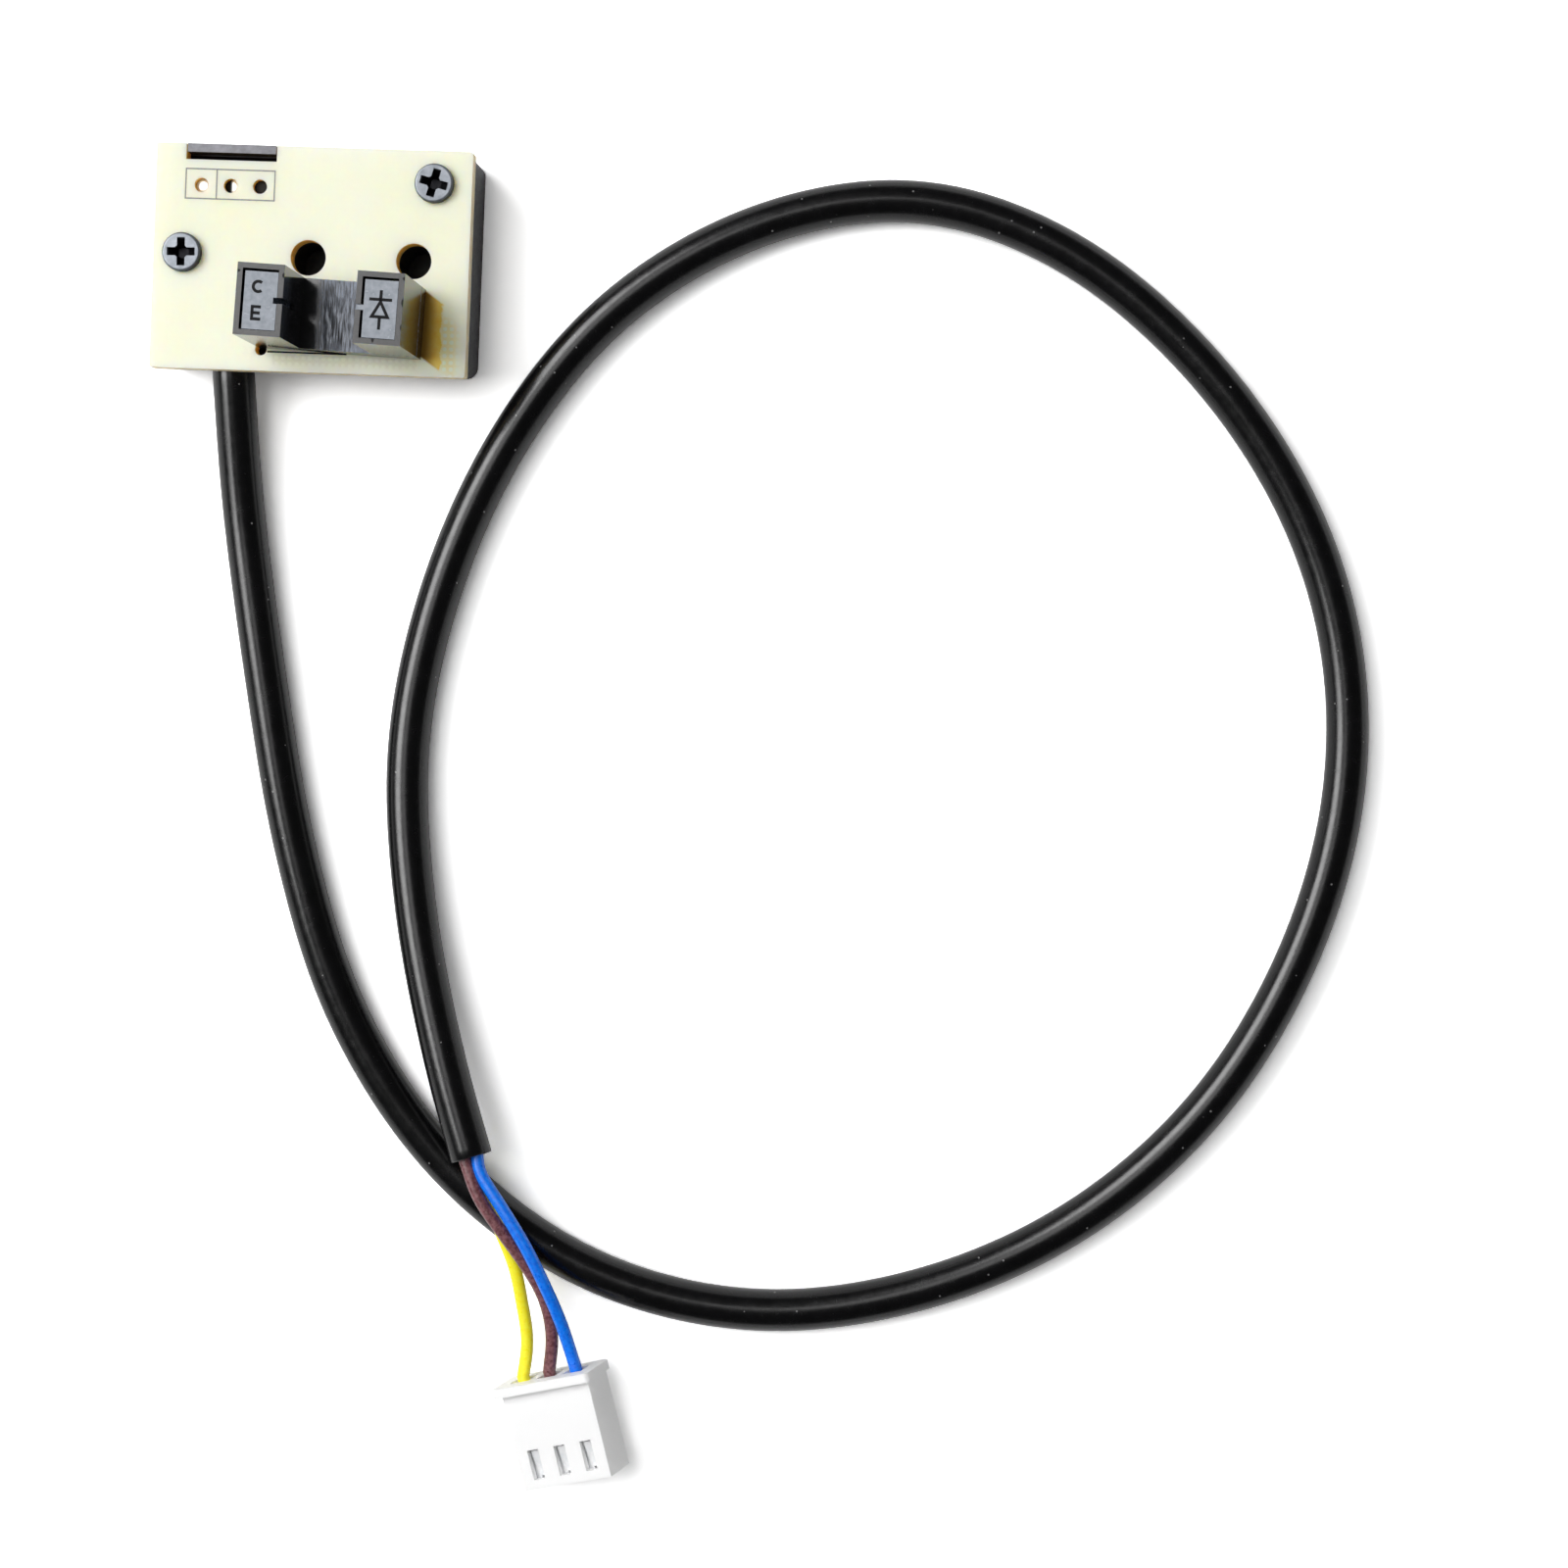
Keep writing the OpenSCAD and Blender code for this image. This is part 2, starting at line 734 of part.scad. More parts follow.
module resistor_fillets() {
    for (end = [0, 180])
        rotate([0, 0, end])
            translate([resistor_size.x / 2, resistor_size.y / 2, 0])
                rotate([90, 0, 0])
                    linear_extrude(resistor_size.y)
                        polygon([[0, 0], [fillet_size, 0], [0, -fillet_size]]);
}

module solder_joints() {
    color("#d8dbe0") {
        in_interrupter()
            for (post = [EMITTER_POST, DETECTOR_POST], leg = [FRONT_LEG, BACK_LEG])
                lead_solder(post, leg);
        for (place = wire_holes)
            at(place, board_bottom)
                wire_solder();
        for (side = [-1, 1])
            resistor_place(side)
                resistor_fillets();
    }
}

// A chip with a metal cap at each end, hung under the board
module chip_resistor() {
    skin = 0.03;
    inner = resistor_size - 2 * [0, skin, 0] - [0, 0, skin];
    translate([-inner.x / 2, -inner.y / 2, -inner.z])
        cube(inner);
    for (end = [-1, 1])
        translate([end * (resistor_size.x - resistor_cap) / 2 - resistor_cap / 2, -resistor_size.y / 2,
                -resistor_size.z])
            cube([resistor_cap, resistor_size.y, resistor_size.z]);
}

module led_resistor() {
    color("#1c1c20")
        resistor_place(1)
            chip_resistor();
}

module pullup_resistor() {
    color("#1c1c20")
        resistor_place(-1)
            chip_resistor();
}

// The cable

function lying(route) = [for (p = route) [p.x, p.y, cable_lay + p.z]];

module cable_jacket() {
    color("#101012")
        tube(jacket_points, cable_d);
}

// The place of a wire outside the jacket's end, at this angle round the axis that leads out of it
function in_jacket(end, axis, angle) =
    let (across = unit(cross([0, 0, 1], axis)))
    end + end_gap * axis + core_circle * (cos(angle) * across + sin(angle) * cross(axis, across));

// A wire from the jacket's inner end, along under the board and up to its solder
module head_wire(way, angle) {
    start = in_jacket(cable_start, [0, 1, 0], angle);
    hole = wire_holes[way];
    top = board_bottom - solder_height;
    points = [start,
        [start.x + wire_spread * (hole.x - start.x), left_screw.y, start.z - wire_dip],
        [hole.x, hole.y - wire_turn, top - wire_turn - wire_dip],
        [hole.x, hole.y - wire_turn / 3, top - wire_turn + wire_turn_rise],
        [hole.x, hole.y, top - wire_upright]];
    tube(concat(even_points(points, wire_spacing * core_d), [[hole.x, hole.y, top]]), core_d);
}

module head_wire_blue() {
    color("#0a78ff")
        head_wire(LEFT_WAY, 330);
}

module head_wire_brown() {
    color("#643c41")
        head_wire(MIDDLE_WAY, 90);
}

module head_wire_yellow() {
    color("#ffe81c")
        head_wire(RIGHT_WAY, 210);
}

// A wire from the jacket's far end to its terminal in the plug
module plug_wire(way, angle, route) {
    start = in_jacket(far_end, far_end_axis, angle);
    lead_in = plug_point(cavity_middles[way], flange_thickness + wire_lead_in, cavity_axis);
    inner_end = plug_point(cavity_middles[way], flange_thickness - wire_reach, cavity_axis);
    tube(concat(even_points(concat([start], route, [lead_in]), wire_spacing * core_d), [inner_end]),
        core_d);
}

module plug_wire_blue() {
    color("#0a78ff")
        plug_wire(RIGHT_WAY, 30, blue_route);
}

module plug_wire_brown() {
    color("#643c41")
        plug_wire(MIDDLE_WAY, 150, brown_route);
}

module plug_wire_yellow() {
    color("#ffe81c")
        plug_wire(LEFT_WAY, 270, yellow_route);
}

// The plug

module plug_solid() {
    translate([flange_side, -plug_length, 0])
        cube([plug_width, plug_length, plug_thickness]);
    translate([0, flange_thickness, 0])
        rotate([90, 0, 0])
            linear_extrude(flange_thickness)
                rounded_rectangle([plug_width + 2 * flange_side, plug_thickness + flange_top],
                    flange_corner);
}

module plug_cavity(middle) {
    translate([middle - cavity_width / 2, -plug_length - past, cavity_axis - cavity_height / 2])
        cube([cavity_width, plug_length + flange_thickness + 2 * past, cavity_height]);
    translate([middle - window_width / 2, -plug_length + window_inset, cavity_axis])
        cube([window_width, window_length, plug_thickness]);
}

module plug_housing() {
    color("#f4f4f4")
        in_plug()
            difference() {
                plug_solid();
                for (middle = cavity_middles)
                    plug_cavity(middle);
            }
}

// A tab of the terminal's top that is bent up into the window, with its free end to the back
module terminal_latch() {
    half = terminal_size / 2;
    front = -plug_length + window_inset + latch_gap;
    back = front + window_length - 2 * latch_gap;
    translate([-latch_width / 2, 0, 0])
        rotate([90, 0, 90])
            linear_extrude(latch_width)
                polygon([[front, half - terminal_sheet], [front, half], [back, half + latch_rise],
                    [back, half + latch_rise - terminal_sheet]]);
}

// A folded terminal along Y: a front box with a seam and a latch on top, a strip, and a barrel
module terminal() {
    half = terminal_size / 2;
    box_end = -plug_length + terminal_sink + terminal_box;
    barrel_start = flange_thickness - wire_reach - barrel_lip;
    translate([0, box_end, 0])
        rotate([90, 0, 0])
            linear_extrude(terminal_box)
                difference() {
                    square(terminal_size, center = true);
                    square(terminal_size - 2 * terminal_sheet, center = true);
                    translate([-terminal_seam / 2, 0])
                        square([terminal_seam, terminal_size]);
                }
    terminal_latch();
    translate([-terminal_strip / 2, box_end - terminal_sheet, -half])
        cube([terminal_strip, barrel_start - box_end + 2 * terminal_sheet, terminal_sheet]);
    translate([0, barrel_start + terminal_barrel, 0])
        rotate([90, 0, 0])
            difference() {
                cylinder(h = terminal_barrel, r = half);
                translate([0, 0, -past])
                    cylinder(h = terminal_barrel + 2 * past, d = core_d + 2 * seat_gap);
            }
}

module placed_terminal(way) {
    color("#b9bcc2")
        in_plug()
            translate([cavity_middles[way], 0, cavity_axis])
                terminal();
}

module plug_terminal_left() {
    placed_terminal(LEFT_WAY);
}

module plug_terminal_middle() {
    placed_terminal(MIDDLE_WAY);
}

module plug_terminal_right() {
    placed_terminal(RIGHT_WAY);
}

base_housing();
circuit_board();
board_screw(left_screw, left_screw_turn);  // board_screw_left
board_screw(right_screw, right_screw_turn);  // board_screw_right
interrupter_shell();
emitter_block();
detector_block();
emitter_lead_anode();
emitter_lead_cathode();
detector_lead_collector();
detector_lead_emitter();
solder_joints();
led_resistor();
pullup_resistor();
cable_jacket();
head_wire_blue();
head_wire_brown();
head_wire_yellow();
plug_wire_blue();
plug_wire_brown();
plug_wire_yellow();
plug_housing();
plug_terminal_left();
plug_terminal_middle();
plug_terminal_right();
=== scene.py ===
import json
import math

import bpy
from mathutils import Matrix, Vector


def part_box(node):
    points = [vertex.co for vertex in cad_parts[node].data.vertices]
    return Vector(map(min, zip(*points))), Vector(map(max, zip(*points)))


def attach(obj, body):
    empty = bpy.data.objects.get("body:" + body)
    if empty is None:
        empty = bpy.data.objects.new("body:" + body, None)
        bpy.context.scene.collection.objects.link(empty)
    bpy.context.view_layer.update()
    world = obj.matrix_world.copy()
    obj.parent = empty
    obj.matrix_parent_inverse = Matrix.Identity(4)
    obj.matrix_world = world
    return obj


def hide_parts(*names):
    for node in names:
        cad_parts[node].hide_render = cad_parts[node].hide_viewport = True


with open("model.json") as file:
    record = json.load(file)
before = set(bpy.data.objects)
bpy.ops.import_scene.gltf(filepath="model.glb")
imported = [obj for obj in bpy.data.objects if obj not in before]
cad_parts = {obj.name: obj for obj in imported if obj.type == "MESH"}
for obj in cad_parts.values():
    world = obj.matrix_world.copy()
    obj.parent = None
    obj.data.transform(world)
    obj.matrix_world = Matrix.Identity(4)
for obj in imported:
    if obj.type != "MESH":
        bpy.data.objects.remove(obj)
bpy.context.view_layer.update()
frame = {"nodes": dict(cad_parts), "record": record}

# Optical speed sensor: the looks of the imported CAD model.
# Sizes are in millimetres in the row frame, as in part.scad, and become metres where meshes are made.

MM = 0.001

# Camera, from a fit to the board's corners and holes in the photograph

CAMERA_PLACE = (58.245, -36.813, 280)
CAMERA_ROLL = math.radians(-2.39)
CAMERA_TILT_X = math.radians(1.20)
CAMERA_TILT_Y = math.radians(-3.43)
FOCAL_PIXELS = 3322.7
IMAGE_PIXELS = 1600
SENSOR_WIDTH = 36
NEAREST_SEEN = 10
FARTHEST_SEEN = 10000

# Light: a soft box at the upper left with a glint that is only mirrored, a small panel overhead that the
# flat tops mirror, a broad fill that nothing mirrors, and a dim room that is white near the horizon

SOFT_DIRECTION = (-0.86, 0.36, 1)
SOFT_DISTANCE = 800
SOFT_SIZE = (670, 400)
SOFT_LEVEL = 0.57
GLINT_DISTANCE = 780
GLINT_SIZE = (600, 340)
GLINT_LEVEL = 0.4
PANEL_DIRECTION = (-0.2, 0.14, 1)
PANEL_DISTANCE = 900
PANEL_SIZE = (320, 320)
PANEL_LEVEL = 0.12
FILL_DIRECTION = (-0.1, 0.1, 1)
FILL_DISTANCE = 900
FILL_SIZE = (900, 900)
FILL_LEVEL = 0.36
LAMP_TARGET = (30, -60, 0)
PANEL_TARGET = (0, 0, 0)
ROOM_LEVEL = 0.05
HORIZON_LEVEL = 1.0
# The white part ends at this sine of the angle above the horizon, and the dim room starts at twice that
HORIZON_REACH = 0.12

# The floor is white where the camera sees it, apart from the object's shadow
FLOOR_SIZE = 640
FLOOR_COLOUR = 0.9
FLOOR_MIRRORED_COLOUR = 1.0
FLOOR_SEEN_COLOUR = 2.0

# Board and head, as in part.scad

BOARD_LENGTH = 27
BOARD_DEPTH = 19
BOARD_BOTTOM = 5.5
BOARD_TOP = 7.1
SCREW_HEAD_HEIGHT = 0.7
SCREW_TOP = BOARD_TOP + SCREW_HEAD_HEIGHT
WIRE_HOLES_X = (-9.55, -7.05, -4.55)
INTERRUPTER_TURN = math.radians(-2.2)
INTERRUPTER_LENGTH = 13.8
INTERRUPTER_HEIGHT = 10
BRIDGE_HEIGHT = 2.2
POST_LENGTH = 3.9
POST_OFFSET = (INTERRUPTER_LENGTH - POST_LENGTH) / 2
POST_TOP = BOARD_TOP + INTERRUPTER_HEIGHT
SLOT_FLOOR = BOARD_TOP + BRIDGE_HEIGHT
BLOCK_SINK = 0.15
BLOCK_SHIFT = 0.07
BLOCK_TOP = POST_TOP - BLOCK_SINK

# Chips and nicks on the interrupter's posts: x, y, width and depth
POST_CHIPS = (
    (9.92, -4.6, 0.36, 0.7), (9.88, -6.6, 0.34, 0.6), (7.5, -7.6, 0.24, 0.6), (4.85, -7.45, 0.5, 0.3),
    (0.0, -2.7, 0.25, 0.4), (-3.75, -2.4, 0.3, 0.22), (5.4, -2.4, 0.5, 0.2), (9.95, -2.65, 0.3, 0.3),
)

# Where the board's top is painted amber as shadow: beside the interrupter's right post, then the shadow's
# fringe beside it and in front of the interrupter. Each gives left, right, front, back and the width of
# the soft edge.
# In the first two the front and back are those at PATCH_X, and come forward by PATCH_SLANT for each
# millimetre to the right. The painted shade of the last two shows only between the threads, and only in
# part.
PAINTED_SHADOW_PATCH = (9.5, 12.0, -8.05, -2.1, 0.25)
SHADOW_FRINGE_BESIDE = (11, 13.7, -8.3, -2.6, 1.2)
SHADOW_FRINGE_IN_FRONT = (-3, 10, -9.1, -7.9, 0.3)
PATCH_X = 9.8
PATCH_SLANT = 0.7
PATCH_LEFT_EDGE = 0.1
FRINGE_BESIDE_SHARE = 0.4
FRINGE_IN_FRONT_SHARE = 0.08
WEAVE_PER_MM = 1.75

# Stretches of x over which the painted shadow turns from a darker painted brown shade at the post's foot
# to amber, the slot's floor turns from a painted shade band beside the left post to rubbed streaks, and
# the streaks grow paler away from that post as painted light
SHADOW_BROWN_TO_AMBER = (9.9, 11.3)
STREAKS_PAST_SHADE_BAND = (0.9, 1.9)
PAINTED_LIGHT_GROWS_FROM = (1.2, 5.5)

# Widths of the rounded edges of the CAD nodes
EDGE_WIDTHS = {
    "base_housing": 0.12, "circuit_board": 0.04, "interrupter_shell": 0.06, "emitter_block": 0.05,
    "detector_block": 0.05, "plug_housing": 0.25, "board_screw_left": 0.05, "board_screw_right": 0.05,
}
EDGE_SEGMENTS = 2
SHARP_ANGLE = math.radians(40)

# The cable's route, as in part.scad: x, y and the rise above where it lies flat

CABLE_D = 3.6
GRIP_GAP = 0.05
FLOOR_GAP = 0.05
CABLE_X = -7
CABLE_Z = BOARD_BOTTOM - (CABLE_D / 2 + GRIP_GAP)
CABLE_LAY = CABLE_D / 2 + FLOOR_GAP
TRAY_FRONT = -8.9
CABLE_INSIDE = 5.9
CABLE_LEAD_OUT = 0.5
CABLE_START = Vector((CABLE_X, TRAY_FRONT + CABLE_INSIDE, CABLE_Z))
CABLE_EXIT = Vector((CABLE_X, TRAY_FRONT - CABLE_LEAD_OUT, CABLE_Z))
CABLE_ROUTE = (
    (-6.65, -14.4, 1.15), (-5.9, -22, 0.3), (-3.5, -36, 0), (-0.5, -50, 0), (4.5, -64, 0),
    (13.5, -76.5, 0), (26, -85, 0), (40.5, -88, 0), (55, -85.5, 0), (68, -79, 0),
    (78.5, -69, 0), (85.5, -56.5, 0), (89, -43, 0), (88.5, -29.5, 0), (84, -17, 0),
    (75.5, -5.5, 0), (64, 3.5, 0), (51, 7.5, 0), (37.5, 5, 0), (25.5, -2.5, 0),
    (17, -13.5, 0), (11.5, -26.5, 0), (9, -40.5, 0.1), (10.3, -54.5, 0.8), (13.6, -67.5, 2.1),
    (16.4, -75.6, 2.95),
)
CABLE_SPACING = 0.8
CABLE_PASSES = 30
CABLE_SIDES = 32

# The open end of the jacket, which the three wires come out of
JACKET_BORE_R = 1.22
JACKET_BORE_DEPTH = 1.0
JACKET_END_EDGE = 0.12

# The wires between the jacket's far end and the plug, and the plug's place, as in part.scad

CORE_D = 1.1
CORE_GAP = 0.02
BLUE_ROUTE = (
    (17.1, -76.7, 5.2), (19.3, -79.7, 5.6), (21.4, -82.8, 5.7), (23.2, -86.2, 5.3), (24.7, -89.6, 4.6),
)
BROWN_ROUTE = (
    (17.2, -78.9, 5.4), (19.3, -81.7, 5.4), (21.3, -84.4, 4.9), (23, -87.3, 4.2), (23.8, -90.6, 3.8),
)
YELLOW_ROUTE = (
    (17.7, -78.8, 4.3), (19, -81.8, 4.2), (20.3, -84.9, 3.7), (21, -88.1, 3.2), (21.6, -91.4, 3),
)
# Each wire's colour, way of the plug, angle in the jacket's end, and route
PLUG_WIRES = (
    ("yellow", 0, 270, YELLOW_ROUTE),
    ("brown", 1, 150, BROWN_ROUTE),
    ("blue", 2, 30, BLUE_ROUTE),
)
WIRE_SPACING = 0.35
WIRE_PASSES = 12
WIRE_SIDES = 20
# Depths in the jacket's end of a wire's first two points
WIRE_TAILS = (0.9, 0.4)
WIRE_LEAD_IN = 0.3
WIRE_REACH = 1.6
PLUG_PLACE = (20.3, -95.9)
PLUG_YAW = math.radians(16.3)
PLUG_ROLL = math.radians(15.8)
FLANGE_CORNER = 0.4
FLANGE_THICKNESS = 0.8
CAVITY_AXIS = 2.4
CAVITY_MIDDLES = (2.1, 4.6, 7.1)

# Print: the box round the wire holes with its divider, the line in front of the interrupter, and the signs
# on its two blocks, each at its place from the block's middle

PRINT_THICKNESS = 0.012
BOX_LEFT = -10.9
BOX_RIGHT = -3.3
BOX_FRONT = 4.85
BOX_BACK = 7.35
BOX_DIVIDER = -8.26
BOX_STROKE = 0.11
FRONT_LINE_END = 3.4
FRONT_LINE_Y = -7.87
FRONT_LINE_STROKE = 0.14
SIGN_STROKE = 0.25
LETTER_C_PLACE = (-0.22, 1.13)
LETTER_C_RADIUS = 0.42
LETTER_C_OPENING = 48
LETTER_E_PLACE = (-0.26, -1.02)
DIODE_PLACE = (0.01, -0.05)


def camera():
    turn = (
        Matrix.Rotation(CAMERA_ROLL, 3, "Z")
        @ Matrix.Rotation(CAMERA_TILT_X, 3, "X")
        @ Matrix.Rotation(CAMERA_TILT_Y, 3, "Y")
    )
    data = bpy.data.cameras.new("camera")
    data.sensor_width = SENSOR_WIDTH
    data.lens = SENSOR_WIDTH * FOCAL_PIXELS / IMAGE_PIXELS
    data.clip_start = NEAREST_SEEN * MM
    data.clip_end = FARTHEST_SEEN * MM
    obj = bpy.data.objects.new("camera", data)
    obj.matrix_world = Matrix.Translation(Vector(CAMERA_PLACE) * MM) @ turn.transposed().to_4x4()
    bpy.context.scene.collection.objects.link(obj)
    bpy.context.scene.camera = obj


# Materials. In their functions s is the material's Shader.


class Shader:
    """One material with its node tree, and short calls for the nodes that repeat."""

    def __init__(self, name):
        self.material = bpy.data.materials.new(name)
        self.material.use_nodes = True
        self.nodes = self.material.node_tree.nodes
        self.links = self.material.node_tree.links
        self.nodes.clear()
        self.surface = self.nodes.new("ShaderNodeBsdfPrincipled")
        output = self.nodes.new("ShaderNodeOutputMaterial")
        self.links.new(self.surface.outputs[0], output.inputs["Surface"])
        self.place = self.nodes.new("ShaderNodeTexCoord").outputs["Object"]

    def set(self, **values):
        """Sets constants on the shader's own sockets: subsurface_weight=0.4 sets Subsurface Weight."""
        for name, value in values.items():
            socket = name.replace("_", " ").title().replace("Ior", "IOR")
            self.surface.inputs[socket].default_value = value

    def fill(self, socket, value):
        """Puts a number, a colour or another node's output into a socket."""
        if isinstance(value, (int, float)):
            socket.default_value = value if socket.type == "VALUE" else (value, value, value, 1)
        elif isinstance(value, tuple):
            socket.default_value = (*value, 1)
        else:
            self.links.new(value, socket)

    def axis(self, name):
        """One axis of the place on the object, in metres."""
        node = self.nodes.new("ShaderNodeSeparateXYZ")
        self.links.new(self.place, node.inputs[0])
        return node.outputs[name]

    def stretched(self, scale):
        """The place on the object, scaled along each axis."""
        node = self.nodes.new("ShaderNodeMapping")
        node.inputs["Scale"].default_value = scale
        self.links.new(self.place, node.inputs["Vector"])
        return node.outputs[0]

    def noise(self, per_mm, detail=3, place=None, roughness=0.55):
        """Noise about 0.5, with about this many grains in a millimetre."""
        node = self.nodes.new("ShaderNodeTexNoise")
        node.inputs["Scale"].default_value = per_mm / MM
        node.inputs["Detail"].default_value = detail
        node.inputs["Roughness"].default_value = roughness
        self.links.new(place or self.place, node.inputs["Vector"])
        return node.outputs["Fac"]

    def spots(self, per_mm):
        """The distance from scattered points, about this many in a millimetre, in their own spacing."""
        node = self.nodes.new("ShaderNodeTexVoronoi")
        node.inputs["Scale"].default_value = per_mm / MM
        self.links.new(self.place, node.inputs["Vector"])
        return node.outputs["Distance"]

    def bands(self, axis, per_mm):
        """Slightly wavy stripes across one axis, 0 to 1."""
        stripe_at_scale_1 = 2 * math.pi / 20
        node = self.nodes.new("ShaderNodeTexWave")
        node.bands_direction = axis
        node.inputs["Scale"].default_value = per_mm / MM * stripe_at_scale_1
        node.inputs["Distortion"].default_value = 1.2
        node.inputs["Detail Scale"].default_value = 1.5
        self.links.new(self.place, node.inputs["Vector"])
        return node.outputs["Fac"]

    def ramp(self, value, *stops):
        """A ramp through (position, colour) stops, where a colour may be one number."""
        node = self.nodes.new("ShaderNodeValToRGB")
        ramp = node.color_ramp
        while len(ramp.elements) < len(stops):
            ramp.elements.new(0.5)
        for element, (position, colour) in zip(ramp.elements, stops):
            element.position = position
            element.color = (*colour, 1) if isinstance(colour, tuple) else (colour, colour, colour, 1)
        self.links.new(value, node.inputs[0])
        return node.outputs[0]

    def mottled(self, per_mm, low, high, detail=3, start=0.3):
        """Soft patches between two colours or two numbers."""
        return self.ramp(self.noise(per_mm, detail), (start, low), (1 - start, high))

    def maths(self, operation, a, b=0.0):
        """One operation of the Math node on numbers or on other nodes' outputs."""
        node = self.nodes.new("ShaderNodeMath")
        node.operation = operation
        self.fill(node.inputs[0], a)
        self.fill(node.inputs[1], b)
        return node.outputs[0]

    def times(self, *values):
        """The product of all the values."""
        product = values[0]
        for value in values[1:]:
            product = self.maths("MULTIPLY", product, value)
        return product

    def step(self, value, start, end):
        """A smooth step from 0 at start to 1 at end, which may be the lower one."""
        node = self.nodes.new("ShaderNodeMapRange")
        node.interpolation_type = "SMOOTHSTEP"
        node.inputs["From Min"].default_value = start
        node.inputs["From Max"].default_value = end
        self.links.new(value, node.inputs["Value"])
        return node.outputs[0]

    def step_mm(self, value, start, end):
        """The same step, for a length in metres between two places in millimetres."""
        return self.step(value, start * MM, end * MM)

    def band_mm(self, value, low, high, edge):
        """1 between two places in millimetres, with soft edges of this width inside them."""
        return self.times(self.step_mm(value, low, low + edge), self.step_mm(value, high, high - edge))

    def mix(self, factor, a, b):
        """Colour or number a where the factor is 0, and b where it is 1."""
        node = self.nodes.new("ShaderNodeMix")
        node.data_type = "RGBA"
        sockets = (node.inputs[0], node.inputs[6], node.inputs[7])
        for socket, value in zip(sockets, (factor, a, b)):
            self.fill(socket, value)
        return node.outputs[2]

    def chips(self, places):
        """1 inside small ragged spots: (x, y, width, depth) in millimetres, at any height."""
        ragged = self.times(self.noise(9, 2), 0.8)
        found = 0.0
        for x, y, width, depth in places:
            across = self.maths("DIVIDE", self.maths("SUBTRACT", self.axis("X"), x * MM), width / 2 * MM)
            along = self.maths("DIVIDE", self.maths("SUBTRACT", self.axis("Y"), y * MM), depth / 2 * MM)
            reach = self.maths("ADD", self.maths("POWER", across, 2), self.maths("POWER", along, 2))
            spot = self.step(self.maths("ADD", reach, ragged), 1.5, 1.0)
            found = self.maths("MAXIMUM", spot, found)
        return found

    def colour(self, value):
        self.links.new(value, self.surface.inputs["Base Color"])

    def rough(self, value):
        self.links.new(value, self.surface.inputs["Roughness"])

    def bump(self, *layers):
        """Adds (height, depth in mm) layers, one on top of the other."""
        last = None
        for height, depth in layers:
            node = self.nodes.new("ShaderNodeBump")
            node.inputs["Distance"].default_value = depth * MM
            self.links.new(height, node.inputs["Height"])
            if last:
                self.links.new(last, node.inputs["Normal"])
            last = node.outputs[0]
        self.links.new(last, self.surface.inputs["Normal"])


def tray_plastic():
    """Satin moulding, smooth on the tab's top, which is painted paler as a highlight."""
    s = Shader("tray_plastic")
    plain = s.mottled(0.6, (0.006, 0.006, 0.008), (0.012, 0.012, 0.016))
    # The tab's top is worn smooth and painted paler as a highlight for the light that falls on it.
    painted_highlight = s.mottled(1.5, (0.15, 0.15, 0.17), (0.24, 0.24, 0.27), detail=4)
    wear_and_painted_light = s.step_mm(s.axis("Z"), BOARD_TOP - 0.3, BOARD_TOP - 0.15)
    s.colour(s.mix(wear_and_painted_light, plain, painted_highlight))
    s.rough(s.mix(wear_and_painted_light, s.mottled(3, 0.5, 0.62), s.mottled(3, 0.16, 0.26)))
    s.set(specular_ior_level=0.5)
    s.bump((s.noise(9, 4), 0.008))
    return s.material


def painted_shadow_share(s, x, y, weave):
    """1 where the board's top is painted amber as shadow, and less where the painted shadow only shows
    between the threads.
    """
    ragged_x = s.maths("ADD", x, s.times(s.noise(1.3, 4), 0.9 * MM))
    slant_y = s.maths("ADD", y, s.times(s.maths("SUBTRACT", x, PATCH_X * MM), PATCH_SLANT))

    def patch(limits, along):
        """1 inside the limits, with a ragged right edge."""
        left, right, front, back, edge = limits
        left_side = s.step_mm(x, left, left + PATCH_LEFT_EDGE)
        right_side = s.step_mm(ragged_x, right, right - edge)
        return s.times(left_side, right_side, s.band_mm(along, front, back, edge))

    beside = s.times(patch(SHADOW_FRINGE_BESIDE, slant_y), FRINGE_BESIDE_SHARE)
    in_front = s.times(patch(SHADOW_FRINGE_IN_FRONT, y), FRINGE_IN_FRONT_SHARE)
    between_threads = s.times(s.maths("MAXIMUM", beside, in_front), s.maths("SUBTRACT", 1.0, weave))
    return s.maths("MAXIMUM", patch(PAINTED_SHADOW_PATCH, slant_y), between_threads)


